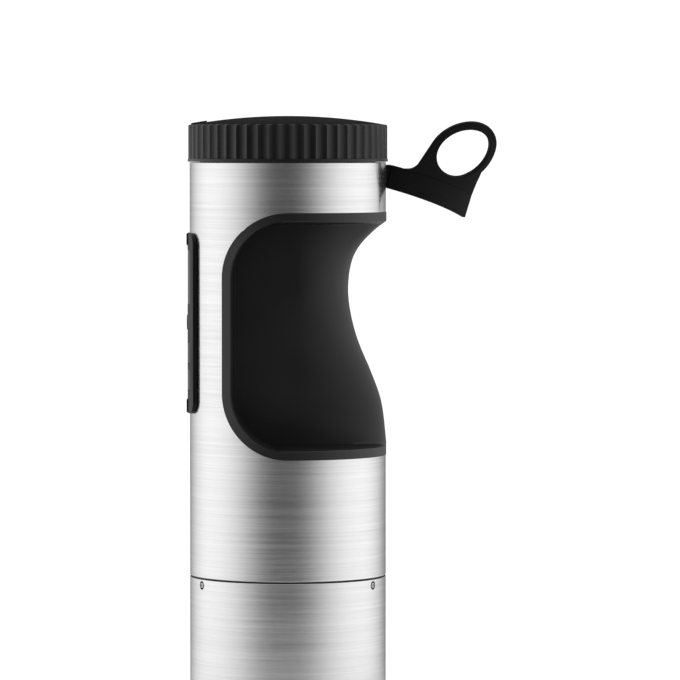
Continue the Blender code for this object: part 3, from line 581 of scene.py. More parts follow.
# Each level is a radius, a height and the share of the scallops' depth that it has.
FLANGE_TOP = DIAL_BOTTOM + 1.6
FLANGE_R = 51.0
DIAL_IN = 45.2
LEDGE_R = 49.4
LEDGE_Z = 371.5
DIAL_LEVELS = (
    (DIAL_IN, DIAL_BOTTOM, 0.0), (50.7, DIAL_BOTTOM, 0.0), (50.93, DIAL_BOTTOM + 0.08, 0.0),
    (FLANGE_R, DIAL_BOTTOM + 0.25, 0.0), (FLANGE_R, FLANGE_TOP - 0.25, 0.0), (50.93, FLANGE_TOP - 0.08, 0.0),
    (50.8, FLANGE_TOP, 0.0), (RIDGE_R, FLANGE_TOP + 0.02, 1.0), (RIDGE_R, FLANGE_TOP + 0.3, 1.0),
    (RIDGE_R, 366.0, 1.0), (RIDGE_R, DIAL_TOP - CHAMFER, 1.0), (RIDGE_R - 0.12, DIAL_TOP - 0.35, 0.95),
    (RIDGE_R - 0.35, DIAL_TOP - 0.1, 0.75), (RIDGE_R - 0.7, DIAL_TOP, 0.4), (49.75, DIAL_TOP, 0.0),
    (49.5, DIAL_TOP - 0.08, 0.0), (LEDGE_R, DIAL_TOP - 0.3, 0.0), (LEDGE_R, LEDGE_Z, 0.0),
    (DIAL_IN, LEDGE_Z, 0.0),
)

fresh()
bpy.ops.mesh.primitive_circle_add(vertices=FLUTES * PER_FLUTE, radius=RIDGE_R * MM, fill_type="NOTHING")
dial = bpy.context.object
edit(dial)
for _ in DIAL_LEVELS[1:]:
    bpy.ops.mesh.extrude_region_move(TRANSFORM_OT_translate={"value": (0.0, 0.0, MM)})
fresh()
for vertex in dial.data.vertices:
    radius, height, share = DIAL_LEVELS[round(vertex.co.z / MM)]
    angle = math.atan2(vertex.co.y, vertex.co.x) % math.tau
    reach = (radius - scallop(angle) * share) * MM
    vertex.co = (reach * math.cos(angle), reach * math.sin(angle), height * MM)
edit(dial)
bpy.ops.mesh.select_all(action="DESELECT")
bpy.ops.mesh.select_non_manifold(extend=False)
bpy.ops.mesh.bridge_edge_loops()
outward(dial)
fit(dial, "dial_ring", "dial", dial_black, 28.0)

# %% [markdown]
# The dome and the power key
#
# The dome is a cap of a large sphere, spun from its middle outwards. The key at
# its front edge is a small block trimmed by a slightly higher copy of the crown.

# %% Dome and key
DOME_TOP = 380.0
DOME_R = 49.1
SPHERE = 281.0
KEY_IN = 41.3
KEY_HALF = 6.5
KEY_PROUD = 0.7


def crown(rise, reach, steps):
    """Points on the dome from its middle outwards, with no rounding between them."""
    points = []
    for i in range(steps + 1):
        r = reach * i / steps
        points.append((r, DOME_TOP + rise - SPHERE + math.sqrt(SPHERE ** 2 - r * r), 0.0))
    return points


outline = crown(0.0, DOME_R - 0.01, 24)[:-1]
edge_z = crown(0.0, DOME_R, 1)[-1][1]
outline += [(DOME_R, edge_z, 0.45), (DOME_R, 373.1, 0.0), (41.6, 373.1, 0.0), (41.6, 366.0, 0.0),
            (39.5, 366.0, 0.0), (39.5, 374.6, 0.0), (0.0, 377.4, 0.0)]
dome = spun("dome", outline, 256, closed=False)
carve(dome, block("notch", (-60, -KEY_HALF - 0.15, 360), (-KEY_IN + 0.15, KEY_HALF + 0.15, 390)))
fit(dome, "top_dome", "housing", cap_black, 30.0)

key = block("key", (-DOME_R, -KEY_HALF, 373.7), (-KEY_IN, KEY_HALF, 379.0))
lid_outline = crown(KEY_PROUD, DOME_R + 0.4, 24) + [(DOME_R + 0.4, 370.0, 0.0), (0.0, 370.0, 0.0)]
lid = spun("lid", lid_outline, 256, closed=False)
carve(key, lid, how="INTERSECT")
ease(key, 0.25, 50.0)
fit(key, "power_key", "power_button", dial_black)

# %% [markdown]
# The hand grip
#
# The grip is one moulding: a rim that follows the tube, two deep finger pockets and
# a web between them whose outer edge is the S-curve for the palm. A grid is laid
# over one half, row by row, and every vertex is put on the surface by a formula.
# The rim is extruded from the grid's edge, then the half is mirrored and thickened.

# %% Grip surface
RIM_R = 50.3
RIM_SIDE = 3.9
RIM_END = 3.9
WEB_HALF = 17.5
NOSE_START = 5.0            # where the web's flat side ends
NOSE_POWER = 1.6            # below 2, the side turns away sooner than an ellipse does
GRIP_WALL = 2.0
THIN = 0.2                  # the share of the wall behind the rim's edge
EDGE = 0.7                  # rounding of the rim's inner edge
EDGE_DROP = 0.03            # the share of the pocket's depth that the rounding takes
FILLET = 1.6                # fillet at the foot of the pocket's wall
PALM = ((50.2, 211.4), (50.2, 214.4), (47.6, 234.9), (42.2, 250.3), (35.8, 265.6), (31.8, 281.0),
        (30.8, 294.0), (32.8, 306.6), (36.9, 314.3), (44.3, 322.0), (50.3, 326.6))
EDGE_STEPS, FILLET_STEPS = 5, 9
CORNER_ROWS = 18
SIDE_ROWS = 14
SIDE_COLUMNS, NOSE_COLUMNS = 10, 24


def palm_x(z):
    """The palm side: a smooth curve through its key points."""
    last = len(PALM) - 2
    i = next((k for k in range(last + 1) if z <= PALM[k + 1][1]), last)
    before, start, end = PALM[max(i - 1, 0)], PALM[i], PALM[i + 1]
    after = PALM[min(i + 2, len(PALM) - 1)]
    span = end[1] - start[1]
    u = min(max((z - start[1]) / span, 0.0), 1.0)
    slope_start = (end[0] - before[0]) / (end[1] - before[1]) * span
    slope_end = (after[0] - start[0]) / (after[1] - start[1]) * span
    return ((2 * u ** 3 - 3 * u ** 2 + 1) * start[0] + (u ** 3 - 2 * u ** 2 + u) * slope_start
            + (3 * u ** 2 - 2 * u ** 3) * end[0] + (u ** 3 - u ** 2) * slope_end)


def pocket(distance):
    """1 on the rim, over its rounded edge, down the wall and along the fillet to 0."""
    if distance <= EDGE:
        return 1.0 - EDGE_DROP * (1.0 - math.sqrt(1.0 - (max(distance, 0.0) / EDGE) ** 2))
    along = min((distance - EDGE) / FILLET, 1.0)
    return (1.0 - EDGE_DROP) * (1.0 - math.sqrt(1.0 - (1.0 - along) ** 2))


def wall_steps():
    """Distances from the rim's edge, drawn together where the surface turns fastest."""
    steps = [EDGE * math.sin(math.pi / 2 * i / EDGE_STEPS) for i in range(EDGE_STEPS + 1)]
    turns = [math.pi / 2 * i / FILLET_STEPS for i in range(1, FILLET_STEPS + 1)]
    return steps + [EDGE + FILLET * (1.0 - math.cos(a)) for a in turns]


def corner_angles(height):
    """The angles of a corner's rows, from its flat end to the side."""
    angles = [math.asin(1.0 - step / height) for step in wall_steps()]
    return angles + [angles[-1] * (1 - i / CORNER_ROWS) for i in range(1, CORNER_ROWS + 1)]


def grip_rows():
    """Rows from bottom to top: the pocket's edge x and z, and the rim's outer x and z."""
    edge_x = GRIP_LEFT + RIM_SIDE
    rows = []
    cx, cz = GRIP_BOTTOM
    height = cz - GRIP_BOTTOM_Z - RIM_END
    for a in corner_angles(height):
        rows.append((cx - (cx - edge_x) * math.cos(a), cz - height * math.sin(a),
                     cx - (cx - GRIP_LEFT) * math.cos(a), cz - (cz - GRIP_BOTTOM_Z) * math.sin(a)))
    for i in range(1, SIDE_ROWS):
        z = GRIP_BOTTOM[1] + (GRIP_TOP[1] - GRIP_BOTTOM[1]) * i / SIDE_ROWS
        rows.append((edge_x, z, GRIP_LEFT, z))
    cx, cz = GRIP_TOP
    height = GRIP_TOP_Z - RIM_END - cz
    for a in reversed(corner_angles(height)):
        rows.append((cx - (cx - edge_x) * math.cos(a), cz + height * math.sin(a),
                     cx - (cx - GRIP_LEFT) * math.cos(a), cz + (GRIP_TOP_Z - cz) * math.sin(a)))
    return rows


def on_tube(x):
    """Half width of the rim's round surface at x."""
    return math.sqrt(max(RIM_R ** 2 - min(x, RIM_R) ** 2, 0.0))


def grip_row(left, z):
    """One row: from the pocket's wall over the web's flat side and round to the palm."""
    ends = max(pocket(z - GRIP_BOTTOM_Z - RIM_END), pocket(GRIP_TOP_Z - RIM_END - z))
    start = NOSE_START
    palm = palm_x(z)
    points = []
    for step in wall_steps():
        x = left + step
        out = 1.0 - (1.0 - ends) * (1.0 - pocket(step))
        points.append((x, out * on_tube(x) + (1.0 - out) * WEB_HALF))
    foot = left + EDGE + FILLET
    for i in range(1, SIDE_COLUMNS + 1):
        x = foot + (start - foot) * i / SIDE_COLUMNS
        points.append((x, ends * on_tube(x) + (1.0 - ends) * WEB_HALF))
    for i in range(1, NOSE_COLUMNS + 1):
        a = math.pi / 2 * i / NOSE_COLUMNS
        nose = WEB_HALF * math.sqrt(1.0 - math.sin(a) ** NOSE_POWER)
        y = ends * on_tube(start + (RIM_R - start) * math.sin(a)) + (1 - ends) * nose
        points.append((start + (palm - start) * math.sin(a), y if i < NOSE_COLUMNS else 0.0))
    return points


# %% [markdown]
# A flat grid is added with one column and one row for every place worked out above,
# and its points are moved there. Then the edges along the rim's inner side are
# extruded, and the new points are laid out on the round surface of the tube. The
# wall is thinner behind the rim's sharp edge, where there is less room for it.

# %% Grip mesh
ROWS = grip_rows()
COLUMNS = EDGE_STEPS + FILLET_STEPS + SIDE_COLUMNS + NOSE_COLUMNS
fresh()
bpy.ops.mesh.primitive_grid_add(x_subdivisions=COLUMNS, y_subdivisions=len(ROWS) - 1, size=2.0)
grip = bpy.context.object
points = [grip_row(left, z) for left, z, _, _ in ROWS]
rim_of = {}
thin = []
for vertex in grip.data.vertices:
    column = round((vertex.co.x + 1.0) / 2.0 * COLUMNS)
    row = round((vertex.co.y + 1.0) / 2.0 * (len(ROWS) - 1))
    x, y = points[row][column]
    _, z, out_x, out_z = ROWS[row]
    vertex.co = (x * MM, -y * MM, z * MM)
    if column <= EDGE_STEPS + 1:
        thin.append(vertex.index)
    if row in (0, len(ROWS) - 1):
        rim_x = min(x, RIM_R) if x > out_x else out_x
        rim_z = GRIP_BOTTOM_Z if row == 0 else GRIP_TOP_Z
        rim_of[vertex.index] = (rim_x, -on_tube(rim_x) if column < COLUMNS else 0.0, rim_z)
    elif column == 0:
        rim_of[vertex.index] = (out_x, -on_tube(out_x), out_z)
rim_targets = [(Vector(grip.data.vertices[i].co), Vector(place) * MM) for i, place in rim_of.items()]
edit(grip)
bpy.ops.mesh.select_mode(type="EDGE")
bpy.ops.mesh.select_all(action="DESELECT")
bpy.ops.object.mode_set(mode="OBJECT")
for line in grip.data.edges:
    line.select = all(i in rim_of for i in line.vertices)
bpy.ops.object.mode_set(mode="EDIT")
bpy.ops.mesh.extrude_edges_move(TRANSFORM_OT_translate={"value": (0.0, 0.0, 0.0)})
bpy.ops.object.mode_set(mode="OBJECT")
old_count = (COLUMNS + 1) * len(ROWS)
for vertex in grip.data.vertices[old_count:]:
    source, target = min(rim_targets, key=lambda pair: (pair[0] - vertex.co).length_squared)
    vertex.co = target
thickness = grip.vertex_groups.new(name="thickness")
thickness.add(list(range(len(grip.data.vertices))), 1.0, "REPLACE")
thickness.add(thin, THIN, "REPLACE")
print("grip vertices", len(grip.data.vertices), "new", len(grip.data.vertices) - old_count)

# %% [markdown]
# Half the grip is done. The mirror makes the other half and the solidify modifier
# gives the skin its wall, which closes the shape.

# %% Grip mirror and wall
edit(grip)
bpy.ops.mesh.normals_make_consistent(inside=False)
bpy.ops.object.mode_set(mode="OBJECT")
web_middle = Vector((0.0, -WEB_HALF, 265.0)) * MM
facing = min(grip.data.polygons, key=lambda face: (Vector(face.center) - web_middle).length)
if facing.normal.y > 0:
    edit(grip)
    bpy.ops.mesh.flip_normals()
    fresh()
mirror = grip.modifiers.new("other_half", "MIRROR")
mirror.use_axis = (False, True, False)
mirror.merge_threshold = 0.00002
wall = grip.modifiers.new("wall", "SOLIDIFY")
wall.thickness = GRIP_WALL * MM
wall.offset = -1.0
wall.vertex_group = thickness.name
wake(grip)
bpy.ops.object.modifier_apply(modifier="other_half")
bpy.ops.object.modifier_apply(modifier="wall")
fit(grip, "grip_shell", "housing", grip_black, 50.0)

# %% [markdown]
# The control panel
#
# The panel is a slim plate whose front is part of a wider cylinder than the tube,
# so it seems to float on the steel. It is made as a flat block with rounded
# corners, trimmed by one large cylinder in front and hollowed by another behind.
# Two raised lips at its ends and the round start button stand a little proud.

# %% Panel
PANEL_HALF = 20.7
PANEL_Z = (229.0, 320.5)
PANEL_FRONT = -51.15
PANEL_R = 66.6
PANEL_CORNER = 6.5
LIP_X = -51.5
LIP_HALF = 8.0
LIP_TOP_Z = 314.3
LIP_BOTTOM_Z = 236.1
GLASS_HALF = 14.0
GLASS_Z = (284.3, 311.7)
START_Z = 274.9
START_R = 4.05
START_DEEP = 4.8
KEY_SIZE = (12.6, 10.5)
KEY_Y = 7.4
KEY_Z = (246.0, 259.6)


def panel_front(inset=0.0):
    """The large cylinder that shapes everything at the front of the panel."""
    middle = PANEL_FRONT + PANEL_R
    return bar("front", PANEL_R - inset, (middle, 0.0, 215.0), (middle, 0.0, 335.0), 400)


low_z, high_z = PANEL_Z
corners = ((-PANEL_HALF, low_z), (PANEL_HALF, low_z), (PANEL_HALF, high_z), (-PANEL_HALF, high_z))
plate = softened([(y, z, PANEL_CORNER) for y, z in corners], steps=10)
bezel = pushed("bezel", [(-56.0, y, z) for y, z in plate], (12.0, 0.0, 0.0))
carve(bezel, panel_front(), how="INTERSECT")
carve(bezel, bar("behind", TUBE_R + GAP, (0, 0, 200), (0, 0, 340), 400))
ease(bezel, 0.35, 45.0)
frame_half = WINDOW_HALF - GAP
frame_block = block("window_frame", (PANEL_FRONT - 1.0, -frame_half, WINDOW_Z[0] + GAP),
                    (-46.5, frame_half, WINDOW_Z[1] - GAP))
carve(frame_block, panel_front(0.2), how="INTERSECT")
carve(bezel, frame_block, how="UNION")
top_lip = block("top_lip", (LIP_X, -LIP_HALF, LIP_TOP_Z), (-50.2, LIP_HALF, PANEL_Z[1] - 0.1), 0.55, 4)
bottom_lip = block("bottom_lip", (LIP_X, -LIP_HALF, PANEL_Z[0] + 0.1),
                   (-50.2, LIP_HALF, LIP_BOTTOM_Z), 0.55, 4)
carve(bezel, top_lip, bottom_lip, how="UNION")
half = GLASS_HALF + GAP
carve(bezel, block("glass_cut", (-60, -half, GLASS_Z[0] - GAP), (-40, half, GLASS_Z[1] + GAP), 0.8),
      bar("start_cut", START_R + GAP, (-60, 0, START_Z), (-40, 0, START_Z), 96))
half_y, half_z = KEY_SIZE[0] / 2, KEY_SIZE[1] / 2
cut_y, cut_z = half_y + GAP, half_z + GAP
KEYS = [(side * KEY_Y, z) for z in KEY_Z for side in (-1, 1)]
for y, z in KEYS:
    carve(bezel, block("key_cut", (-60, y - cut_y, z - cut_z), (-40, y + cut_y, z + cut_z), 1.2))
fit(bezel, "panel_bezel", "housing", panel_black, 30.0)

# %% [markdown]
# The window, the four keys and the start button sit in the panel with a hairline
# gap. The keys share the panel's curve, and the round button is dished.

# %% Window, keys and start button
glass = block("glass", (-52.0, -GLASS_HALF, GLASS_Z[0]), (-48.9, GLASS_HALF, GLASS_Z[1]), 0.6)
carve(glass, panel_front(0.1), how="INTERSECT")
ease(glass, 0.18, 50.0)
fit(glass, "display_glass", "housing", window_black)

for number, (y, z) in enumerate(KEYS, 1):
    cap = block("key_cap", (-53.0, y - half_y, z - half_z), (-47.2, y + half_y, z + half_z), 1.0)
    carve(cap, panel_front(0.05), how="INTERSECT")
    ease(cap, 0.3, 50.0)
    fit(cap, f"mode_key_{number}", f"key_{number}", key_black)

button = spun("button", [(0.0, 4.45, 0.0), (1.4, 4.5, 0.0), (2.5, 4.62, 0.0), (3.2, START_DEEP, 0.3),
                         (START_R, START_DEEP, 0.6), (START_R, 0.0, 0.0), (0.0, 0.0, 0.0)], 96, closed=False)
button.rotation_euler = (0.0, -math.pi / 2, 0.0)
button.location = [c * MM for c in (LIP_X + START_DEEP, 0.0, START_Z)]
fit(button, "start_button", "start", key_black)

# %% [markdown]
# The port cover
#
# The cover is a strap of soft rubber that closes round the tube, with a pull ring
# that leans away from it. Like the real moulding's pattern it is drawn flat, edges
# rounded, cut into narrow strips, and then every point is bent: round the tube
# below the fold, and on a cone above it. Last it is swung open on its hinge.

# %% Cover drawn flat
COVER_R = 50.6
COVER_THICK = 2.4
COVER_BAND = 12.1
COVER_LEAN = 33.0
COVER_RING_AT = 32.0
COVER_RING = (1.6, 19.0)
COVER_RING_R = 18.7
COVER_HOLE_R = 14.3
NECK_FILLET = 5.0
DROOP = 0.0006
BEAD = 0.28
COVER_END = ((22.3, -12.1), (23.0, 0.0), (22.2, 2.4), (21.3, 4.8), (20.6, 7.2), (20.1, 9.6))
COVER_HINGE = (51.26, 8.12, 349.2)
COVER_ALONG = (0.9653, 0.0, -0.2613)
COVER_INWARD = (-0.0331, 0.9920, -0.1224)
middle = COVER_R + COVER_THICK / 2
hinge_x = -math.radians(COVER_RING_AT) * middle
neck = COVER_RING[0] - COVER_RING_R
outline = [(hinge_x + 0.1, -COVER_BAND), *COVER_END]
outline += ellipse(COVER_RING, COVER_RING_R, COVER_RING_R, -20, 180, 72)
outline += ellipse((neck - NECK_FILLET, NECK_FILLET), NECK_FILLET, NECK_FILLET, 0, -90, 12)
outline += [(hinge_x + 0.1, 0.0)]
sheet = pushed("cover", [(x, y, -COVER_THICK / 2) for x, y in outline], (0.0, 0.0, COVER_THICK))
carve(sheet, bar("finger_hole", COVER_HOLE_R, (*COVER_RING, -5.0), (*COVER_RING, 5.0), 128))
ease(sheet, 0.6, 50.0, 3)
print("flat cover", len(sheet.data.vertices), "vertices")

# %% [markdown]
# The sheet is cut into strips, so that it has points to bend at, and each point is
# moved: round the tube below the fold, and out on a cone above it.

# %% Cover bent
edit(sheet)
cuts = [((x * 1.5, 0, 0), (1, 0, 0)) for x in range(-19, 16)]
cuts += [((0, y, 0), (0, 1, 0)) for y in (-9, -6, -3, -1.4, -1.0, -0.6, -0.25, 0, 0.5, 1.5, 3, 5, 7)]
cuts += [((0, y, 0), (0, 1, 0)) for y in range(10, 35, 3)]
for place, normal in cuts:
    bpy.ops.mesh.select_all(action="SELECT")
    bpy.ops.mesh.bisect(plane_co=[c * MM for c in place], plane_no=normal, use_fill=False)
fresh()


def droop(x, y):
    """The free end hangs a little lower; the ring keeps its circle."""
    return DROOP * (x - hinge_x) ** 2 * min(max((9.0 - y) / 7.0, 0.0), 1.0)


def wrap_cover(x, y, depth):
    """Bend a point of the flat cover, in its hinge frame. A fine bead runs along the fold outside."""
    lean = math.radians(COVER_LEAN)
    if depth > 0 and -1.2 < y < -0.1:
        depth += BEAD * min(max(min(x + 20.0, 18.0 - x) / 5.0, 0.0), 1.0)
    up = max(y, 0.0)
    angle = math.radians(COVER_RING_AT) + x / (middle + up * math.sin(lean))
    radius = middle + up * math.sin(lean)
    z = min(y, 0.0) + up * math.cos(lean)
    if y > 0.001:
        radius += depth * math.cos(lean)
        z -= depth * math.sin(lean)
    elif y < -0.001:
        radius += depth
    else:
        radius += depth
        z -= depth * math.tan(lean / 2)
    z -= droop(x, y)
    return (radius * math.sin(angle), middle - radius * math.cos(angle), z + COVER_BAND / 2)


along, inward = Vector(COVER_ALONG).normalized(), Vector(COVER_INWARD).normalized()
upward = along.cross(inward).normalized()
inward = upward.cross(along)
turn = Matrix((along, inward, upward)).transposed().to_4x4()
hinge_frame = Matrix.Translation(Vector(COVER_HINGE) * MM) @ turn
for vertex in sheet.data.vertices:
    x, y, depth = (c / MM for c in vertex.co)
    vertex.co = hinge_frame @ (Vector(wrap_cover(x, y, depth)) * MM)
outward(sheet)
fit(sheet, "port_cover", "cover", cover_black, 40.0)

# %% [markdown]
# The strap's root is its hinge: a thinner web that runs from the anchor inside the
# tube into the cover. Its top is tucked down towards the anchor, and it is attached to neither body.

# %% Flexible hinge and anchor
strap = block("hinge_strap", (-4.0, -0.95, -COVER_BAND / 2 + 0.15), (1.6, 0.95, COVER_BAND / 2 - 0.1), 0.3)
edit(strap)
for x in range(-14, 6):
    bpy.ops.mesh.select_all(action="SELECT")
    bpy.ops.mesh.bisect(plane_co=(x * 0.25 * MM, 0, 0), plane_no=(1, 0, 0), use_fill=False)
fresh()
for vertex in strap.data.vertices:
    x, y, z = (c / MM for c in vertex.co)
    tuck = max(-x - 0.6, 0.0) * 0.27
    vertex.co = hinge_frame @ (Vector((x, y, z - tuck if z > 0 else z + 0.02)) * MM)
outward(strap)
wake(strap)
bpy.ops.object.shade_smooth_by_angle(angle=math.radians(40))
strap.data.materials.append(cover_black)
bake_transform(strap)

anchor = block("anchor", (45.4, 3.5, 343.5), (51.5, 7.7, 354.7))
carve(anchor, block("anchor_head", (45.3, 1.5, 343.6), (47.6, 9.7, 354.6)), how="UNION")
ending = block("anchor_end", (-0.35, -20.0, -20.0), (20.0, 20.0, 20.0))
ending.matrix_world = hinge_frame @ ending.matrix_world
carve(anchor, ending)
ease(anchor, 0.35)
fit(anchor, "cover_anchor", "housing", cover_black)

# %% [markdown]
# The small round socket that the cover protects is let into the steel beside the
# grip. It is turned like everything round, then laid on its side.

# %% Port socket
socket = spun("socket", [(5.2, 0.0, 0.2), (5.2, 4.6, 0.35), (4.2, 4.6, 0.2), (3.6, 4.0, 0.2), (3.6, 1.4, 0.3),
                         (1.1, 1.4, 0.0), (1.1, 3.4, 0.3), (0.0, 3.6, 0.0), (0.0, 0.0, 0.0)],
              96, closed=False)
socket.rotation_euler = (0.0, math.pi / 2, math.radians(PORT_AZIMUTH))
socket.location = [c * MM for c in polar(45.2, PORT_AZIMUTH, PORT_Z)]
fit(socket, "port_socket", "housing", cap_black)

# %% [markdown]
# The wet end
#
# The skirt is the lower length of tube, with a ring of upright slots that let the
# water in. One slot cutter is drawn and then turned round the tube eighteen times.

# %% Skirt and gasket
SKIRT_TOP = 145.4
SKIRT_BOTTOM = 14.3
SKIRT_WALL = 1.2
SLOTS = 18
SLOT_WIDTH = 3.5
SLOT_Z = (24.0, 58.0)
SLOT_TURN = 10.0            # degrees from +X to the first slot
SCREW_Z = 142.5
SCREW_AZIMUTHS = (90, 210, 330)
skirt_in = TUBE_R - SKIRT_WALL
rings = [(TUBE_R, z, 0.0) for z in (139.0, 130.0, 115.0, 100.0, 85.0, 70.0, 60.0, 22.0)]
skirt = spun("skirt", [(TUBE_R, SKIRT_TOP, 0.25), *rings, (TUBE_R, SKIRT_BOTTOM, 0.25),
                       (skirt_in, SKIRT_BOTTOM, 0.2), (skirt_in, SKIRT_TOP, 0.2)], 360)
radius = SLOT_WIDTH / 2
stadium = ellipse((0.0, SLOT_Z[1] - radius), radius, radius, 0, 180, 12)
stadium += ellipse((0.0, SLOT_Z[0] + radius), radius, radius, 180, 360, 12)
for i in range(SLOTS):
    turn = Matrix.Rotation(math.radians(360 / SLOTS * i + SLOT_TURN), 3, "Z")
    ring = [turn @ Vector((44.0, t, z)) for t, z in stadium]
    carve(skirt, pushed("slot", ring, turn @ Vector((12.0, 0.0, 0.0))))
for azimuth in SCREW_AZIMUTHS:
    carve(skirt, bar("screw_hole", 2.2, polar(44, azimuth, SCREW_Z), polar(56, azimuth, SCREW_Z), 32))
fit(skirt, "lower_skirt", "housing", tube_steel, 30.0)

gasket = spun("gasket", [(49.6, 145.7, 0.0), (49.6, 146.0, 0.0), (49.1, 146.0, 0.0), (49.1, 145.7, 0.0)], 256)
fit(gasket, "seam_gasket", "housing", rubber_black)

for number, azimuth in enumerate(SCREW_AZIMUTHS, 1):
    head = spun("head", [(0.0, 0.0, 0.0), (1.3, 0.0, 0.0), (1.3, 10.1, 0.25), (0.75, 10.1, 0.1),
                         (0.75, 9.4, 0.0), (0.0, 9.4, 0.0)], 32, closed=False)
    head.rotation_euler = (0.0, math.pi / 2, math.radians(azimuth))
    head.location = [c * MM for c in polar(40.0, azimuth, SCREW_Z)]
    fit(head, f"skirt_screw_{number}", "housing", plain_steel)

# %% [markdown]
# The base twists off for cleaning. It carries a spigot that centres it in the
# skirt, and a ring of round inlets underneath.

# %% Base cap
BASE_HOLES = 10
BASE_GROOVES = 36
base = spun("base", [(0.0, 3.0, 0.0), (46.6, 3.0, 0.5), (46.6, 20.0, 0.3), (48.2, 20.0, 0.3),
                     (48.2, 14.0, 0.0), (TUBE_R, 14.0, 0.3), (TUBE_R, 1.5, 0.8), (TUBE_R - 1.5, 0.0, 0.6),
                     (43.0, 0.0, 0.3), (42.0, 0.8, 0.3), (0.0, 0.8, 0.0)], 256, closed=False)
for i in range(BASE_HOLES):
    x, y, _ = polar(32.0, 360 / BASE_HOLES * i)
    carve(base, bar("inlet", 5.0, (x, y, -5.0), (x, y, 8.0), 48))
groove_r = TUBE_R + 0.35
for i in range(BASE_GROOVES):
    azimuth = 360 / BASE_GROOVES * i
    carve(base, bar("groove", 0.7, polar(groove_r, azimuth, 3.5), polar(groove_r, azimuth, 11.5), 16))
fit(base, "base_cap", "base", base_black, 35.0)

# %% [markdown]
# The mains inlet is a shallow well with three blades, let into the back of the tube
# below the grip.

# %% Power inlet
BLADES = ((-7.0, 179.0), (7.0, 179.0), (0.0, 184.5))
inlet = block("inlet", (32.0, -14.6, 168.4), (55.0, 14.6, 193.6), 1.2)
carve(inlet, bar("face", TUBE_R + 0.2, (0, 0, 150), (0, 0, 210), 400), how="INTERSECT")
corners = ((-12.0, 172.0), (12.0, 172.0), (12.0, 185.5), (8.0, 190.0), (-8.0, 190.0), (-12.0, 185.5))
well = softened([(y, z, 1.5) for y, z in corners])
carve(inlet, pushed("well", [(37.0, y, z) for y, z in well], (20.0, 0.0, 0.0)))
ease(inlet, 0.3, 50.0)
inlet.rotation_euler.z = math.pi / 2
fit(inlet, "power_inlet", "housing", cap_black)
for number, (x, z) in enumerate(BLADES, 1):
    blade = block(f"inlet_blade_{number}", (x - 1.0, 36.0, z - 2.0), (x + 1.0, 46.0, z + 2.0), 0.4)
    wake(blade)
    bpy.ops.object.shade_smooth_by_angle(angle=math.radians(40))
    blade.data.materials.append(brass)
    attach(blade, "housing")

# %% [markdown]
# The pot clamp
#
# A collar slides on the skirt and reaches over the pot's rim to a jaw. A threaded
# screw with a scalloped knob presses a rubber pad against the pot from outside.

# %% Collar
low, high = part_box("clamp_collar")
COLLAR_TOP = high.z / MM
COLLAR_LOW = COLLAR_TOP - 26.0
COLLAR_IN = 50.4
COLLAR_OUT = 54.0
JAW_LOW = low.z / MM
low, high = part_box("clamp_screw")
CLAMP_Z = (low.z + high.z) / 2 / MM
collar = spun("collar", [(COLLAR_OUT, COLLAR_TOP, 0.9), (COLLAR_OUT, COLLAR_LOW, 0.9),
                         (COLLAR_IN, COLLAR_LOW, 0.3), (COLLAR_IN, COLLAR_TOP, 0.3)], 256)
bridge = block("bridge", (52.2, -12.0, COLLAR_TOP - 14.0), (80.0, 12.0, COLLAR_TOP - 0.2), 1.2)
jaw = block("jaw", (72.0, -11.9, JAW_LOW), (79.9, 11.9, COLLAR_TOP - 4.0), 1.2)
carve(collar, bridge, jaw, how="UNION")
bore = bar("bore", 4.4, (60.0, 0.0, CLAMP_Z), (100.0, 0.0, CLAMP_Z), 64)
carve(collar, bore)
for side in (-1, 1):
    y = side * 12.8
    carve(collar, block("relief", (58.0, y - 2.0, COLLAR_TOP - 11.5), (69.5, y + 2.0, COLLAR_TOP - 2.8), 0.8))
fit(collar, "clamp_collar", "clamp", base_black, 35.0)

# %% [markdown]
# The thread is a real helix: the outline of one ridge, wound up by the screw
# modifier and joined to a plain core. Its crest runs clear of the jaw's bore. The
# knob's scallops are cut one by one, and the pad's face has two shallow rings.

# %% Screw, knob and pad
PITCH = 2.0
TURNS = 13
THREAD_STEPS = 24           # steps in one turn
ridge = drawn("thread", [(3.2, 0.0, -0.85), (4.0, 0.0, -0.2), (4.0, 0.0, 0.2), (3.2, 0.0, 0.85)], True)
winding = ridge.modifiers.new("winding", "SCREW")
winding.axis = "Z"
winding.angle = math.tau * TURNS
winding.screw_offset = PITCH * TURNS * MM
winding.iterations = 1
winding.steps = THREAD_STEPS * TURNS
winding.render_steps = THREAD_STEPS * TURNS
winding.use_smooth_shade = False
wake(ridge)
bpy.ops.object.modifier_apply(modifier="winding")
edit(ridge)
bpy.ops.mesh.fill_holes(sides=0)
bpy.ops.mesh.normals_make_consistent(inside=False)
fresh()
ridge.location.z = 1.6 * MM
core = spun("core", [(0.0, 0.0, 0.0), (3.3, 0.0, 0.4), (3.3, 29.4, 0.0), (0.0, 29.4, 0.0)], 48, closed=False)
wake(core)
ridge.select_set(True)
bpy.ops.object.join()
core.rotation_euler = (0.0, math.pi / 2, 0.0)
core.location = [c * MM for c in (66.6, 0.0, CLAMP_Z)]
fit(core, "clamp_screw", "screw", plain_steel, 30.0)

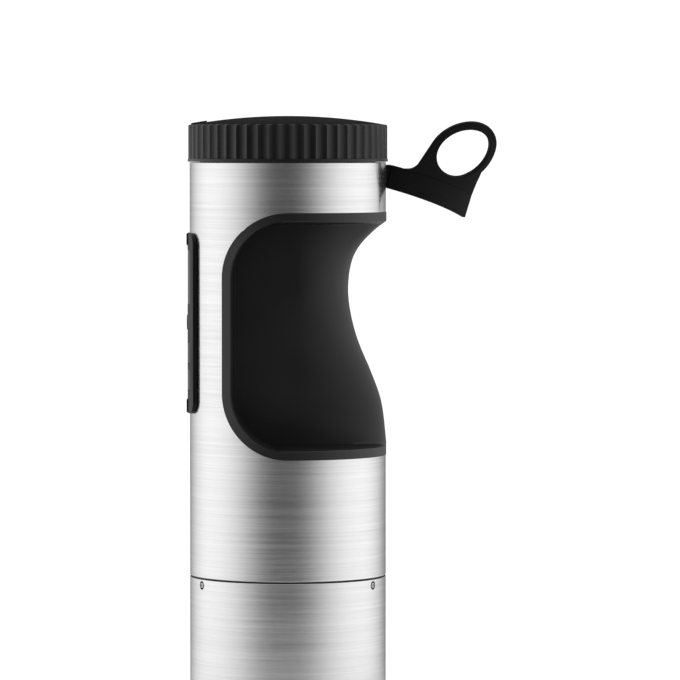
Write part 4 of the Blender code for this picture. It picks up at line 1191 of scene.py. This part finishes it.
knob = spun("knob", [(0.0, 15.6, 0.0), (7.0, 15.6, 0.3), (7.5, 16.0, 0.3), (12.2, 16.0, 0.8),
                     (13.0, 15.0, 0.5), (13.0, 0.0, 0.8), (6.5, 0.0, 0.3), (6.0, 0.6, 0.2),
                     (4.3, 0.6, 0.0), (4.3, 4.3, 0.0), (0.0, 4.3, 0.0)], 192, closed=False)
for i in range(8):
    x, y, _ = polar(14.6, 45 * i)
    carve(knob, bar("scallop", 3.2, (x, y, -5.0), (x, y, 25.0), 48))
ease(knob, 0.3, 55.0)
knob.rotation_euler = (0.0, math.pi / 2, 0.0)
knob.location = [c * MM for c in (92.0, 0.0, CLAMP_Z)]
fit(knob, "clamp_knob", "screw", dial_black)

pad = spun("pad", [(0.0, 4.3, 0.0), (4.0, 4.3, 0.3), (9.0, 2.5, 0.4), (9.0, 0.0, 0.5), (7.6, 0.0, 0.1),
                   (7.3, 0.4, 0.1), (6.5, 0.4, 0.1), (6.2, 0.0, 0.1), (4.6, 0.0, 0.1), (4.3, 0.4, 0.1),
                   (3.5, 0.4, 0.1), (3.2, 0.0, 0.1), (0.0, 0.0, 0.0)], 96, closed=False)
pad.rotation_euler = (0.0, math.pi / 2, 0.0)
pad.location = [c * MM for c in (62.0, 0.0, CLAMP_Z)]
fit(pad, "pressure_pad", "pad", rubber_black)

# %% [markdown]
# The parts inside
#
# What is hidden keeps the shape that it has in the frame, and only gets a finish
# that says what it is made of: laminate, rubber, steel, brass or plastic.

# %% Finishes of the parts inside
NODE_FINISH = {
    "top_deck": grey_plastic, "dial_seal": rubber_black,
    "dial_sensor_board": board_green, "power_switch": grey_plastic, "display_module": grey_plastic,
    "display_board": board_green, "bulkhead": grey_plastic,
    "upper_oring": rubber_black, "lower_oring": rubber_black, "pump_motor": plain_steel,
    "upper_bearing": brass, "lower_bearing": brass, "pump_column": plain_steel, "pump_housing": base_black,
    "heater_coil": plain_steel, "temperature_probe": plain_steel, "level_rod_high": plain_steel,
    "level_rod_low": plain_steel, "main_board": board_green, "board_frame": grey_plastic,
    "power_board": board_green, "relay": cap_black, "wire_loom": rubber_black, "pump_shaft": plain_steel,
    "impeller": base_black,
}
for name, finish in NODE_FINISH.items():
    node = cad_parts[name]
    node.data.materials.clear()
    node.data.materials.append(finish)
print(len(NODE_FINISH), "inner parts finished")
